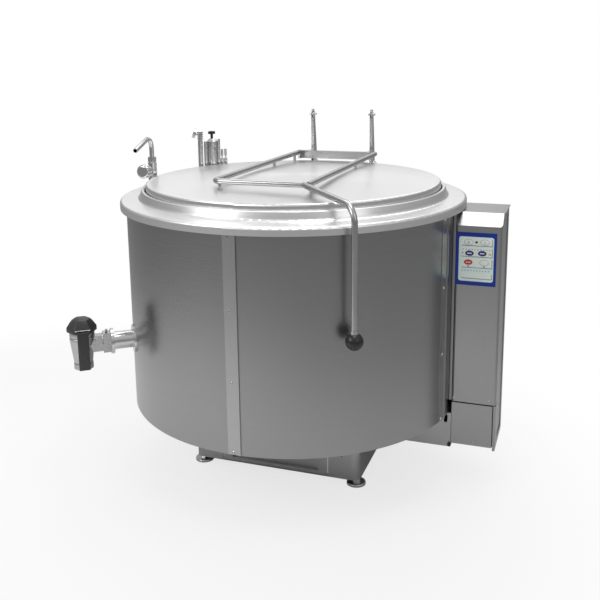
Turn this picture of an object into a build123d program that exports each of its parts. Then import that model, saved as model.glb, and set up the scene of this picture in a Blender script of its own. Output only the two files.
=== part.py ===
from build123d import *
from math import asin, cos, hypot, pi, radians, sin, sqrt, tan
import os

os.makedirs("parts", exist_ok=True)

# Free-standing kettle with an electrically heated steam jacket, about 300 litres, with a hinged lid
# balanced by two springs, a side column for the controls and a plug tap at the front left.
# Origin: on the floor, on the vat's axis. +Z up, -Y the front, +X the side of the control column.
# All sizes in millimetres. Azimuths are degrees from +X, counter-clockwise seen from above.

# ---- Driving dimensions: casing and deck ----
casing_radius = 541.0  # outside of the round casing
casing_sheet = 2.0
casing_bottom = 230.0  # lower edge of the casing above the floor
deck_height = 900.0  # outer edge of the deck above the floor
deck_rise = 4.0  # the deck climbs this much from its edge to the collar
deck_sheet = 2.0
rim_radius = 560.0
rim_drop = 25.0  # height of the turned-down lip
rim_bend = 8.0
collar_radius = 500.0  # where the raised collar meets the deck
collar_lean = 8.0  # how far the collar leans in over its height
collar_height = 26.0
collar_width = 10.0
gutter_depth = 18.0
collar_bend = 4.0

# ---- Vat, steam jacket and insulation ----
vat_radius = 450.0  # inside
vat_wall = 4.0
vat_top = 936.0
vat_floor = 505.0  # underside of the floor on the axis
vat_fall = 2.0  # degrees, towards the drain
vat_knuckle = 50.0
jacket_radius = 500.0
jacket_sheet = 3.0
jacket_bottom = 420.0
jacket_shoulder = 800.0
jacket_top = 835.0
jacket_knuckle = 40.0
insulation_gap = 3.0
insulation_bottom = 300.0
insulation_top = 860.0
pan_sheet = 2.0
pan_gap = 1.0
leg_side = 40.0
leg_reach_x = 180.0
leg_reach_y = 140.0

# ---- Heater in the jacket ----
heater_height = 466.0
heater_plate_radius = 52.0
heater_plate = 12.0
heater_socket_wall = 4.0
heater_reach = 10.0  # how far the socket stands out of the jacket
heater_bolt_radius = 3.0
element_radius = 5.0
element_length = 620.0
element_bend = 16.0
element_pitch = 24.0
element_count = 3

# ---- Base ----
base_width = 568.0
base_depth = 432.0
base_bottom = 24.0
base_corner = 25.0
base_sheet = 2.5
base_lip = 18.0
panel_screw_x = 227.0
panel_screw_z = 97.0
post_width = 102.0  # width of each front corner post
service_gap = 1.5
panel_plate = 2.0
recess_width = 298.0
recess_height = 52.0
recess_depth = 12.0
recess_lift = 12.0
foot_inset_x = 17.0
foot_inset_y = 31.0
foot_radius = 30.5
foot_disc = 9.0
foot_bend = 4.0
foot_hex = 13.0
foot_nut = 9.0
foot_stem_radius = 8.0
foot_stem_top = 92.0
socket_side = 44.0
socket_plate = 6.0

# ---- Casing joint strips ----
strip_width = 39.0
strip_sheet = 1.5
strip_hem = 5.0
strip_hem_rise = 3.0
strip_offset = 7.5  # the front strip's middle, to the right of the centre line
strip_screw_offset = 3.5
strip_margin = 1.0
strip_screw_inset = 7.0
side_strip_azimuth = 345.6
rear_strip_azimuth = 165.0
screw_radius = 4.5
screw_head = 2.6
screw_taper = 30.0  # degrees
strip_screws = 4

# ---- Lid and its frame ----
lid_radius = 478.0
lid_sheet = 2.0
lid_skirt_bottom = 921.0
lid_skirt_top = 947.0
lid_crown = 962.0  # top of the dome on the axis
lid_bend = 6.0
seal_width = 8.0
tube_radius = 9.0
tube_wall = 1.5
frame_height = 976.0  # centre of the frame's tubes
frame_half = 150.0
frame_front = 295.0
frame_rear = 487.0
frame_bend = 26.0
post_radius = 5.0
post_places = ((-1, -250.0), (1, -262.0), (-1, 215.0), (1, 215.0), (-1, 430.0), (1, 430.0))
crossbar_depth = 20.0
crossbar_height = 31.0
crossbar_bottom = 953.0
crossbar_wall = 2.5
lever_joint = 138.0  # where the front tube ends and the lever begins
lever_azimuth = 305.5
lever_radius = 590.0
lever_fall = 21.0
lever_bend = 50.0
lever_bottom = 606.0
knob_radius = 25.0
knob_neck = 11.0
knob_sink = 4.0

# ---- Lid hinge and balance springs ----
hinge_y = 566.0
hinge_z = 925.0
hinge_x = 118.0
shaft_radius = 10.0
running_fit = 0.05
shaft_overhang = 6.0
arm_width = 11.0
arm_sheet = 1.5
arm_front = 552.0
arm_top = 1128.0
arm_top_depth = 14.0
arm_foot_depth = 34.0
arm_leg_bottom = 957.0
arm_leg_top = 981.0
arm_hub = 17.0
arm_corner = 7.0
arm_fork = 1104.0  # the web stops here, and the top is open
hub_wall = 2.4
bracket_gap = 1.5
bracket_plate = 5.0
bracket_hub = 15.0
bracket_front = 512.0
bracket_length = 33.0
bracket_foot_width = 64.0
bracket_foot = 5.0
trunnion_y = 561.0
trunnion_z = 1118.0
trunnion_radius = 4.5
trunnion_length = 27.0
trunnion_chamfer = 0.8
rod_radius = 3.0
rod_tip = 19.0  # threaded end above the trunnion
rod_sleeve = 3.6
rod_nut_lift = 12.5
rod_length = 300.0
rod_nut_radius = 6.0
rod_nut = 5.0
anchor_y = 648.0
anchor_z = 330.0
anchor_pin_radius = 5.0
anchor_plate = 5.0
anchor_width = 90.0
anchor_rise = 130.0
spring_radius = 16.0
spring_wire = 3.0
spring_hook = 34.0

# ---- Drain and plug tap ----
drain_azimuth = 218.0
drain_height = 464.0
drain_radius = 28.0
drain_wall = 2.5
drain_fit = 0.5  # clearance round the pipe where it passes a wall
sump_reach = 385.0
sump_radius = 40.0
sump_bottom = 432.0
strainer_hole = 3.0
strainer_plate = 2.0
strainer_height = 488.0
strainer_knob = 14.0
collar_ring_radius = 40.0
collar_ring_stand = 65.0  # how far the ring stands off the casing
collar_ring = 10.0
wall_ring_radius = 45.0
wall_ring_width = 5.0
union_radius = 35.5
union_length = 24.0
union_chamfer = 2.0
union_lug = 7.0
tap_bore = 19.0
hex_radius = 29.5
union_gap = 3.0
tap_tail = 59.0  # from the tail's flats to the plug's axis
tap_top = 27.0  # heights on the tap are from the pipe's centre line
tap_top_radius = 38.5
tap_flange = 3.0
tap_rim = 9.0
tap_bend = 3.0
tap_waist = -55.0
tap_waist_radius = 29.0
tap_mouth = -76.0
tap_mouth_radius = 30.0
tap_lip = 4.0
plug_top_radius = 28.0
plug_foot_radius = 22.5
plug_foot = -50.0
plug_hollow = 17.0
plug_window = 15.0
plug_stem = 10.0
plug_seat = 2.0
cap_radius = 48.0
cap_skirt = 20.0
cap_dome = 37.0
cap_crown = 34.0
cap_bend = 8.0
handle_bend = 4.0
handle_width = 36.0
handle_thick = 11.0
handle_foot = -88.0
handle_stand = 44.0  # inner face of the hanging bar from the plug's axis

# ---- Water spout ----
spout_reach = 522.0
spout_azimuth = 180.0
spout_body_radius = 15.0
spout_body_top = 984.0
spout_hex_radius = 17.0
spout_hex = 12.0
spout_nut_radius = 16.5
spout_nut_bottom = 987.0
spout_nut_top = 1003.0
spout_radius = 8.0
spout_wall = 1.2
spout_top = 1077.0
spout_length = 141.0
spout_drop = 36.0
spout_heading = 277.5
spout_bend = 20.0
spout_knob_height = 959.0
spout_knob_radius = 24.0
spout_knob_length = 30.0
spout_knob_stand = 40.0  # near face of the knob from the pipe's axis
spout_boss_radius = 11.0
spout_neck_radius = 12.0
spout_knob_bend = 4.0
spout_knob_gap = 2.0
spout_stem_radius = 5.0

# ---- Safety group ----
group_reach = 522.0
manifold_depth = 28.0
manifold_height = 17.0
manifold_from = 137.8
manifold_to = 153.2
gauge_azimuth = 151.3
gauge_pipe_radius = 9.0
gauge_pipe_top = 1036.0
fin_radius = 11.0
fin_count = 4
fin_thick = 4.0
fin_pitch = 8.0
gauge_heading = 205.0
gauge_tilt = 20.0
gauge_radius = 18.0
gauge_depth = 12.0
gauge_neck = 5.0
gauge_stand = 15.0
lens_sheet = 1.5
breaker_azimuth = 148.8
breaker_radius = 6.0
breaker_top = 1030.0
valve_azimuth = 145.7
valve_radius = 19.0
valve_top = 1030.0
wing_bottom = 1044.0
wing_top = 1068.0
wing_span = 14.0
wing_thick = 5.0
valve_stem_radius = 5.0
valve_dome = 10.0
vent_azimuth = 142.7
vent_radius = 6.5
vent_top = 1036.0
cock_azimuths = (141.1, 139.5)
cock_radius = 6.0
tube_collar = 8.0
cock_top = 962.0
cock_stem_radius = 2.5
cock_pin_top = 998.0
cock_pin_radius = 4.6
cock_pin_bottom = 972.0

# ---- Control column ----
column_left = 545.0
column_right = 683.0
column_front = -72.0
column_rear = 118.0
column_bottom = 117.0
column_top = 873.0
column_slope = 36.0
column_sheet = 1.5
cover_sheet = 2.0
cover_corner = 8.0
cover_depth = 40.0
lower_cover_inset = 10.0  # how much narrower the lower cover is, on the outer side
lower_cover_corner = 3.0
lower_cover_gap = 2.0
lower_stile_setback = 6.0
cap_sheet = 3.0
cap_overhang = 3.0
tongue_depth = 10.0
cover_split = 268.0
cover_split_gap = 4.0
cover_bottom = 129.0
cover_screw_inset = 12.0
side_inset = 3.0
side_frame = 20.0
panel_width = 122.0
panel_left = 546.0
panel_bottom = 653.0
panel_height = 164.0
panel_sheet = 1.2
key_rise = 0.5
key_width = 25.0
key_height = 16.0
key_places = ((585.0, 787.0), (633.0, 788.0), (588.0, 753.0), (626.0, 754.0), (585.0, 725.0), (632.0, 725.0))
bracket_front_y = -66.0
bracket_rear_y = 66.0
bracket_low = 112.0
bracket_high = 227.0
bracket_wall = 3.0
slot_width = 12.0
slot_height = 28.0
mount_plate_y = 96.0
board_y = -52.0
board_sheet = 1.6
board_chip = 8.0
board_post = 3.0
plate_bottom = 290.0
plate_height = 400.0
plate_width = 116.0
contactor_count = 3
contactor_pitch = 110.0
contactor_width = 54.0
contactor_height = 80.0
contactor_depth = 68.0
gland_radius = 12.0
gland_bore = 6.5
gland_length = 22.0
gland_hex = 8.0
gland_thread = 9.0
gland_y = 84.0
slot_x = 528.0
slot_z = 207.5


# ---- Values worked out from the driving dimensions ----
CENTRED_ON_BASE = (Align.CENTER, Align.CENTER, Align.MIN)
CENTRED_ON_TOP = (Align.CENTER, Align.CENTER, Align.MAX)
FROM_FRONT_AND_BASE = (Align.CENTER, Align.MIN, Align.MIN)
BACK_ON_PLANE = (Align.CENTER, Align.MAX, Align.CENTER)
shell_ring_top = deck_height - deck_sheet
collar_top = deck_height + deck_rise + collar_height
gutter_floor = collar_top - gutter_depth
collar_outer = collar_radius - collar_lean
collar_inner = collar_outer - collar_width
vat_outer = vat_radius + vat_wall
column_x = (column_left + column_right) / 2
column_width = column_right - column_left
column_height = column_top - column_bottom


def around(azimuth, radius, height=0.0):
    """A point at this azimuth and distance from the vat's axis."""
    return (radius * cos(radians(azimuth)), radius * sin(radians(azimuth)), height)


def radial_plane(azimuth, radius, height):
    """A plane that faces straight out from the vat's axis."""
    return Plane(
        origin=around(azimuth, radius, height),
        x_dir=(-sin(radians(azimuth)), cos(radians(azimuth)), 0),
        z_dir=(cos(radians(azimuth)), sin(radians(azimuth)), 0),
    )


def dome_height(radius):
    """Top of the lid's dome at this distance from the axis."""
    sag = lid_crown - lid_skirt_top
    dome_radius = (lid_radius**2 + sag**2) / (2 * sag)
    return lid_crown - dome_radius + sqrt(dome_radius**2 - radius**2)


def cut_to_deck():
    """Trims the part being built to the deck's sloping top face."""
    with Locations((0, 0, deck_height)):
        Cylinder(rim_radius + rim_drop, 4 * rim_drop, align=CENTRED_ON_TOP, mode=Mode.SUBTRACT)
        Cone(rim_radius, collar_radius, deck_rise, align=CENTRED_ON_BASE, mode=Mode.SUBTRACT)


def sector(azimuth_from, azimuth_to, inner, outer):
    """A face between two radii and two azimuths, on the sketch's plane."""
    with BuildLine(Plane.XY) as outline:
        outer_arc = CenterArc((0, 0), outer, azimuth_from, azimuth_to - azimuth_from)
        inner_arc = CenterArc((0, 0), inner, azimuth_from, azimuth_to - azimuth_from)
        Line(outer_arc @ 0, inner_arc @ 0)
        Line(outer_arc @ 1, inner_arc @ 1)
    make_face(outline.edges())


# ==== Casing ====
front_strip_azimuth = 270.0 + strip_offset / casing_radius * 180 / pi
panel_gap = 4.0 / casing_radius * 180 / pi
casing_joints = (rear_strip_azimuth, front_strip_azimuth, side_strip_azimuth, rear_strip_azimuth + 360)

with BuildPart() as outer_casing:
    for start, end in zip(casing_joints, casing_joints[1:]):
        with BuildSketch(Plane.XY.offset(casing_bottom)):
            sector(start + panel_gap / 2, end - panel_gap / 2, casing_radius - casing_sheet, casing_radius)
        extrude(amount=shell_ring_top - casing_bottom)
    with BuildSketch(radial_plane(drain_azimuth, casing_radius - vat_wall * 4, drain_height)):
        Circle(drain_radius + drain_fit)
    extrude(amount=vat_wall * 8, mode=Mode.SUBTRACT)
outer_casing.part.label = "outer_casing"
export_step(outer_casing.part, "parts/outer_casing.step")

with BuildPart() as joint_strips:
    strip_half = strip_width / 2 / casing_radius * 180 / pi
    hem_angle = strip_hem / casing_radius * 180 / pi
    strip_outer = casing_radius + strip_sheet
    for azimuth in casing_joints[:3]:
        with BuildSketch(Plane.XY.offset(casing_bottom + strip_margin)):
            sector(azimuth - strip_half, azimuth + strip_half, casing_radius, strip_outer)
            sector(azimuth + strip_half - hem_angle, azimuth + strip_half, casing_radius, strip_outer + strip_hem_rise)
        extrude(amount=deck_height - rim_drop - strip_margin - casing_bottom - strip_margin)
joint_strips.part.label = "joint_strips"
export_step(joint_strips.part, "parts/joint_strips.step")

with BuildPart() as deck:
    with BuildSketch(Plane.XZ):
        with BuildLine() as deck_line:
            FilletPolyline(
                (rim_radius, deck_height - rim_drop),
                (rim_radius, deck_height),
                (collar_radius, deck_height + deck_rise),
                (collar_outer, collar_top),
                (collar_inner, collar_top),
                (collar_inner, gutter_floor),
                (vat_outer, gutter_floor),
                radius=(rim_bend, rim_bend, collar_bend, collar_bend, collar_bend),
            )
            offset(amount=deck_sheet, side=Side.LEFT)
        make_face()
    revolve(axis=Axis.Z)
deck.part.label = "deck"
export_step(deck.part, "parts/deck.step")

# ==== Vat, jacket and insulation ====
# The vat's floor is a tilted plane, rounded into the wall, so that it drains to the sump.
fall_x, fall_y, _ = around(drain_azimuth, sin(radians(vat_fall)))
sump_x, sump_y, _ = around(drain_azimuth, sump_reach)


def vat_block(radius, lift, knuckle):
    """A solid with the vat's outer or inner form: a cylinder on a tilted, rounded floor."""
    floor = Plane(origin=(0, 0, vat_floor + lift), z_dir=(fall_x, fall_y, cos(radians(vat_fall))))
    with BuildPart() as block:
        with BuildSketch(Plane.XY.offset(vat_floor - vat_radius / 4)):
            Circle(radius)
        extrude(amount=vat_top - vat_floor + vat_radius / 4)
        split(bisect_by=floor, keep=Keep.TOP)
        fillet(block.edges().sort_by(Axis.Z)[0], radius=knuckle)
    return block.part


with BuildPart() as vat:
    add(vat_block(vat_outer, 0, vat_knuckle))
    add(vat_block(vat_radius, vat_wall, vat_knuckle - vat_wall), mode=Mode.SUBTRACT)
    with BuildSketch(Plane.XY.offset(sump_bottom)):
        with Locations((sump_x, sump_y)):
            Circle(sump_radius - drain_wall)
    extrude(amount=(vat_top - sump_bottom) / 3, mode=Mode.SUBTRACT)
vat.part.label = "vat"
export_step(vat.part, "parts/vat.step")

# The heater enters the jacket from the control column's side, through a socket with a bolted plate.
heater_plane = Plane(origin=(jacket_radius, 0, heater_height), x_dir=(0, 1, 0), z_dir=(1, 0, 0))
heater_socket = heater_plate_radius - heater_plate

with BuildPart() as steam_jacket:
    with BuildSketch(Plane.XZ):
        with BuildLine():
            FilletPolyline(
                (vat_outer, jacket_top),
                (jacket_radius, jacket_shoulder),
                (jacket_radius, jacket_bottom),
                (0, jacket_bottom),
                radius=(rim_bend, jacket_knuckle),
            )
            offset(amount=jacket_sheet, side=Side.RIGHT)
        make_face()
    revolve(axis=Axis.Z)
    with Locations((0, 0, jacket_shoulder)):
        Cylinder(vat_outer, jacket_top - jacket_shoulder, align=CENTRED_ON_BASE, mode=Mode.SUBTRACT)
    with BuildSketch(radial_plane(drain_azimuth, vat_outer, drain_height)):
        Circle(drain_radius)
    extrude(amount=jacket_radius - vat_outer + jacket_sheet * 2, mode=Mode.SUBTRACT)
    with BuildSketch(heater_plane.offset(-jacket_knuckle)):
        Circle(heater_socket)
    extrude(amount=jacket_knuckle + heater_reach, mode=Mode.SUBTRACT)
    with BuildSketch(heater_plane.offset(-jacket_knuckle)):
        Circle(heater_socket + heater_socket_wall)
        Circle(heater_socket, mode=Mode.SUBTRACT)
    extrude(amount=jacket_knuckle + heater_reach)
steam_jacket.part.label = "steam_jacket"
export_step(steam_jacket.part, "parts/steam_jacket.step")

with BuildPart() as heater:
    with BuildSketch(heater_plane.offset(heater_reach)):
        Circle(heater_plate_radius)
    extrude(amount=heater_plate)
    with BuildSketch(heater_plane.offset(heater_reach + heater_plate)):
        with PolarLocations(heater_plate_radius - heater_plate / 2, 6):
            RegularPolygon(heater_bolt_radius * 2, 6)
        Circle(heater_socket / 2)
    extrude(amount=heater_plate / 2)
    for turn in range(element_count):
        side = (turn - (element_count - 1) / 2) * element_pitch
        with BuildLine() as hairpin:
            FilletPolyline(
                (jacket_radius + heater_reach, side, heater_height + element_bend),
                (jacket_radius - element_length, side, heater_height + element_bend),
                (jacket_radius - element_length, side, heater_height - element_bend),
                (jacket_radius + heater_reach, side, heater_height - element_bend),
                radius=element_bend - 0.1,
            )
        with BuildSketch(hairpin.line ^ 0):
            Circle(element_radius)
        sweep(path=hairpin.line)
heater.part.label = "heater"
export_step(heater.part, "parts/heater.step")

with BuildPart() as insulation:
    with BuildSketch(Plane.XY.offset(insulation_bottom)):
        Circle(casing_radius - casing_sheet - insulation_gap)
        Circle(jacket_radius + insulation_gap, mode=Mode.SUBTRACT)
    extrude(amount=insulation_top - insulation_bottom)
    with BuildSketch(radial_plane(drain_azimuth, jacket_radius, drain_height)):
        Circle(drain_radius + insulation_gap)
    with BuildSketch(heater_plane):
        Circle(heater_plate_radius + insulation_gap)
    extrude(amount=casing_radius - jacket_radius, mode=Mode.SUBTRACT)
insulation.part.label = "insulation"
export_step(insulation.part, "parts/insulation.step")

with BuildPart() as bottom_pan:
    with BuildSketch(Plane.XY.offset(casing_bottom)):
        Circle(casing_radius - casing_sheet - pan_gap)
    extrude(amount=pan_sheet)
    with BuildSketch(Plane.XY.offset(casing_bottom + pan_sheet)):
        Circle(casing_radius - casing_sheet - pan_gap)
        Circle(casing_radius - casing_sheet - pan_gap - pan_sheet, mode=Mode.SUBTRACT)
    extrude(amount=insulation_bottom - casing_bottom - pan_sheet)
    with BuildSketch(Plane.XY.offset(casing_bottom + pan_sheet)):
        with GridLocations(leg_reach_x * 2, leg_reach_y * 2, 2, 2):
            Rectangle(leg_side, leg_side)
            Rectangle(leg_side - jacket_sheet * 2, leg_side - jacket_sheet * 2, mode=Mode.SUBTRACT)
    extrude(amount=jacket_bottom - casing_bottom - pan_sheet)
bottom_pan.part.label = "bottom_pan"
export_step(bottom_pan.part, "parts/bottom_pan.step")

# ==== Base ====
base_top = casing_bottom
base_half_width = base_width / 2
base_half_depth = base_depth / 2
foot_reach_x = base_half_width - foot_inset_x
foot_reach_y = base_half_depth - foot_inset_y
service_width = base_width - post_width * 2

with BuildPart() as base_frame:
    with BuildSketch(Plane.XY.offset(base_bottom)):
        RectangleRounded(base_width, base_depth, base_corner)
        RectangleRounded(
            base_width - base_sheet * 2, base_depth - base_sheet * 2, base_corner - base_sheet, mode=Mode.SUBTRACT
        )
    extrude(amount=base_top - base_bottom)
    with BuildSketch(Plane.XY.offset(base_bottom)):
        RectangleRounded(base_width, base_depth, base_corner)
        Rectangle(base_width - base_lip * 2, base_depth - base_lip * 2, mode=Mode.SUBTRACT)
    extrude(amount=base_sheet)
    with BuildSketch(Plane.XY.offset(base_top - base_sheet)):
        with Locations((0, leg_reach_y), (0, -leg_reach_y)):
            Rectangle(base_width - base_sheet, leg_side)
    extrude(amount=base_sheet)
    # opening at the front for the service panel
    with BuildSketch(Plane.XZ.offset(base_half_depth)):
        with Locations((0, base_bottom + base_sheet)):
            Rectangle(service_width, base_top - base_bottom - base_sheet, align=(Align.CENTER, Align.MIN))
    extrude(amount=-base_sheet, mode=Mode.SUBTRACT)
    # nut plates that the levelling feet screw into
    with BuildSketch(Plane.XY.offset(base_bottom + base_sheet)):
        RectangleRounded(base_width - base_sheet, base_depth - base_sheet, base_corner - base_sheet / 2)
        Rectangle(base_width - socket_side * 2, base_depth, mode=Mode.SUBTRACT)
        Rectangle(base_width, base_depth - socket_side * 2, mode=Mode.SUBTRACT)
    extrude(amount=socket_plate)
    with GridLocations(foot_reach_x * 2, foot_reach_y * 2, 2, 2):
        Cylinder(foot_stem_radius + running_fit, base_top / 2, align=CENTRED_ON_BASE, mode=Mode.SUBTRACT)
    # the way through to the control column
    with BuildSketch(Plane.YZ.offset(base_half_width)):
        with Locations(((bracket_front_y + bracket_rear_y) / 2, (bracket_low + bracket_high) / 2)):
            Rectangle(
                bracket_rear_y - bracket_front_y - bracket_wall * 2, bracket_high - bracket_low - bracket_wall * 2
            )
    extrude(amount=-base_sheet, mode=Mode.SUBTRACT)
base_frame.part.label = "base_frame"
export_step(base_frame.part, "parts/base_frame.step")

with BuildPart() as base_front_panel:
    service_panel_width = service_width - service_gap * 2
    panel_bottom_edge = base_bottom + base_sheet + service_gap
    recess_bottom = panel_bottom_edge + recess_lift
    with BuildSketch(Plane.XZ.offset(base_half_depth)):
        with Locations((0, panel_bottom_edge)):
            Rectangle(service_panel_width, base_top - panel_bottom_edge, align=(Align.CENTER, Align.MIN))
    extrude(amount=-panel_plate)
    with BuildSketch(Plane.XZ.offset(base_half_depth)):
        with Locations((0, recess_bottom - panel_plate)):
            Rectangle(
                recess_width + panel_plate * 2, recess_height + panel_plate * 2, align=(Align.CENTER, Align.MIN)
            )
    extrude(amount=-recess_depth - panel_plate)
    with BuildSketch(Plane.XZ.offset(base_half_depth)):
        with Locations((0, recess_bottom)):
            Rectangle(recess_width, recess_height, align=(Align.CENTER, Align.MIN))
    extrude(amount=-recess_depth, mode=Mode.SUBTRACT)
base_front_panel.part.label = "base_front_panel"
export_step(base_front_panel.part, "parts/base_front_panel.step")

foot_corners = {"front_left": (-1, -1), "front_right": (1, -1), "rear_left": (-1, 1), "rear_right": (1, 1)}
for corner, (side_x, side_y) in foot_corners.items():
    foot_x = side_x * foot_reach_x
    foot_y = side_y * foot_reach_y
    with BuildPart() as levelling_foot:
        with Locations((foot_x, foot_y)):
            Cylinder(foot_radius, foot_disc, align=CENTRED_ON_BASE)
        fillet(levelling_foot.edges().sort_by(Axis.Z)[-1], radius=foot_bend)
        with Locations((foot_x, foot_y)):
            Cylinder(foot_stem_radius, foot_stem_top, align=CENTRED_ON_BASE)
        with BuildSketch(Plane.XY.offset(foot_disc)):
            with Locations((foot_x, foot_y)):
                RegularPolygon(foot_hex, 6)
        extrude(amount=foot_nut)
    levelling_foot.part.label = "levelling_foot_" + corner
    export_step(levelling_foot.part, "parts/levelling_foot_" + corner + ".step")

# ==== Drain and plug tap ====
collar_ring_reach = casing_radius + collar_ring_stand
ring_end = collar_ring_reach + collar_ring
pipe_end = ring_end + union_length / 2
hex_start = ring_end + union_length + union_gap
tap_reach = hex_start + tap_tail
tap_plane = Plane(origin=around(drain_azimuth, tap_reach, drain_height))

with BuildPart() as drain_pipe:
    with Locations((sump_x, sump_y, sump_bottom)):
        Cylinder(sump_radius, vat_floor - sump_bottom, align=CENTRED_ON_BASE)
    add(vat_block(vat_outer, 0, vat_knuckle), mode=Mode.SUBTRACT)
    with BuildSketch(radial_plane(drain_azimuth, sump_reach, drain_height)):
        Circle(drain_radius)
    extrude(amount=pipe_end - sump_reach)
    with BuildSketch(radial_plane(drain_azimuth, collar_ring_reach, drain_height)):
        Circle(collar_ring_radius)
    extrude(amount=collar_ring)
    with Locations((sump_x, sump_y, sump_bottom + drain_wall)):
        Cylinder(sump_radius - drain_wall, vat_floor - sump_bottom, align=CENTRED_ON_BASE, mode=Mode.SUBTRACT)
    with BuildSketch(radial_plane(drain_azimuth, sump_reach, drain_height)):
        Circle(drain_radius - drain_wall)
    extrude(amount=pipe_end - sump_reach, mode=Mode.SUBTRACT)
drain_pipe.part.label = "drain_pipe"
export_step(drain_pipe.part, "parts/drain_pipe.step")

with BuildPart() as drain_strainer:
    with Locations((sump_x, sump_y, strainer_height)):
        Cylinder(sump_radius - drain_wall, strainer_plate, align=CENTRED_ON_BASE)
        with PolarLocations(sump_radius / 3, 6):
            Hole(strainer_hole)
        with PolarLocations(sump_radius / 3 * 2, 12):
            Hole(strainer_hole)
    with Locations((sump_x, sump_y, strainer_height)):
        Cylinder(strainer_hole, strainer_knob, align=CENTRED_ON_BASE)
drain_strainer.part.label = "drain_strainer"
export_step(drain_strainer.part, "parts/drain_strainer.step")

with BuildPart() as wall_ring:
    with BuildSketch(radial_plane(drain_azimuth, casing_radius - wall_ring_width, drain_height)):
        Circle(wall_ring_radius)
        Circle(drain_radius + drain_fit, mode=Mode.SUBTRACT)
    extrude(amount=wall_ring_width * 2)
    Cylinder(casing_radius, deck_height, align=CENTRED_ON_BASE, mode=Mode.SUBTRACT)
wall_ring.part.label = "wall_ring"
export_step(wall_ring.part, "parts/wall_ring.step")

with BuildPart() as union_nut:
    with BuildSketch(radial_plane(drain_azimuth, ring_end, drain_height)):
        RegularPolygon(union_radius, 6)
    extrude(amount=union_length)
    with BuildSketch(radial_plane(drain_azimuth, ring_end + union_length / 2, drain_height)):
        with Locations((0, union_radius - union_chamfer)):
            Rectangle(union_lug, union_lug * 2)
    extrude(amount=union_lug / 2, both=True)
    with BuildSketch(radial_plane(drain_azimuth, ring_end, drain_height)):
        Circle(drain_radius)
    extrude(amount=union_length, mode=Mode.SUBTRACT)
union_nut.part.label = "union_nut"
export_step(union_nut.part, "parts/union_nut.step")

with BuildPart() as tap_body:
    with BuildSketch(Plane.XZ):
        with BuildLine():
            Polyline(
                (0, tap_top),
                (tap_top_radius, tap_top),
                (tap_top_radius, tap_top - tap_rim),
                (tap_waist_radius, tap_waist),
                (tap_mouth_radius, tap_waist - tap_lip),
                (tap_mouth_radius, tap_mouth),
                (0, tap_mouth),
                close=True,
            )
        make_face()
    revolve(axis=Axis.Z)
    fillet(tap_body.edges().sort_by(Axis.Z)[-1], radius=tap_bend)
    tap_form = tap_body.part.moved(tap_plane.location)
with BuildPart() as tap_body:
    add(tap_form)
    with BuildSketch(radial_plane(drain_azimuth, hex_start, drain_height)):
        RegularPolygon(hex_radius, 6)
    extrude(amount=tap_reach - hex_start)
    with BuildSketch(radial_plane(drain_azimuth, pipe_end, drain_height)):
        Circle(drain_radius)
    extrude(amount=hex_start - pipe_end)
    with BuildSketch(radial_plane(drain_azimuth, pipe_end, drain_height)):
        Circle(tap_bore)
    extrude(amount=tap_reach - pipe_end, mode=Mode.SUBTRACT)
    with Locations(tap_plane):
        with Locations((0, 0, plug_foot)):
            Cone(
                plug_foot_radius + running_fit,
                plug_top_radius + running_fit,
                tap_top - plug_foot,
                align=CENTRED_ON_BASE,
                mode=Mode.SUBTRACT,
            )
        with Locations((0, 0, tap_mouth)):
            Cylinder(
                plug_foot_radius - plug_seat, plug_foot - tap_mouth, align=CENTRED_ON_BASE, mode=Mode.SUBTRACT
            )
tap_body.part.label = "tap_body"
export_step(tap_body.part, "parts/tap_body.step")

with BuildPart() as tap_plug:
    with Locations(tap_plane):
        with Locations((0, 0, plug_foot)):
            Cone(plug_foot_radius, plug_top_radius, tap_top - plug_foot, align=CENTRED_ON_BASE)
            Cylinder(plug_hollow, plug_window + drain_wall - plug_foot, align=CENTRED_ON_BASE, mode=Mode.SUBTRACT)
        with Locations((0, 0, tap_top)):
            Cylinder(plug_top_radius + tap_rim / 2, tap_flange, align=CENTRED_ON_BASE)
            Cylinder(plug_stem, cap_skirt + cap_dome / 2, align=CENTRED_ON_BASE)
    with BuildSketch(radial_plane(drain_azimuth - 90, 0, 0).moved(Location(tap_plane.origin))):
        Circle(plug_window)
    extrude(amount=tap_top_radius, mode=Mode.SUBTRACT)
tap_plug.part.label = "tap_plug"
export_step(tap_plug.part, "parts/tap_plug.step")

with BuildPart() as tap_handle:
    handle_top = tap_top + tap_flange
    with Locations(tap_plane):
        with Locations((0, 0, handle_top)):
            Cylinder(cap_radius, cap_skirt, align=CENTRED_ON_BASE)
        with Locations((0, 0, handle_top + cap_skirt)):
            Cone(cap_radius, cap_crown, cap_dome, align=CENTRED_ON_BASE)
    fillet(tap_handle.edges().group_by(Axis.Z)[-1], radius=cap_bend)
    with Locations(tap_plane.rotated((0, 0, drain_azimuth + 90))):
        with Locations((handle_stand, 0, handle_foot)):
            Box(
                handle_thick,
                handle_width,
                handle_top + cap_skirt - handle_foot,
                align=(Align.MIN, Align.CENTER, Align.MIN),
            )
    fillet(tap_handle.edges().group_by(Axis.Z)[0], radius=handle_bend)
    with Locations(tap_plane):
        with Locations((0, 0, tap_top)):
            Cylinder(plug_stem, cap_skirt + cap_dome / 2, align=CENTRED_ON_BASE, mode=Mode.SUBTRACT)
tap_handle.part.label = "tap_handle"
export_step(tap_handle.part, "parts/tap_handle.step")

# ==== Water spout ====
spout_x, spout_y, _ = around(spout_azimuth, spout_reach)
spout_seat = spout_body_top - spout_boss_radius  # floor of the bore that the pipe turns in
boss_length = spout_knob_stand - spout_knob_gap

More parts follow.
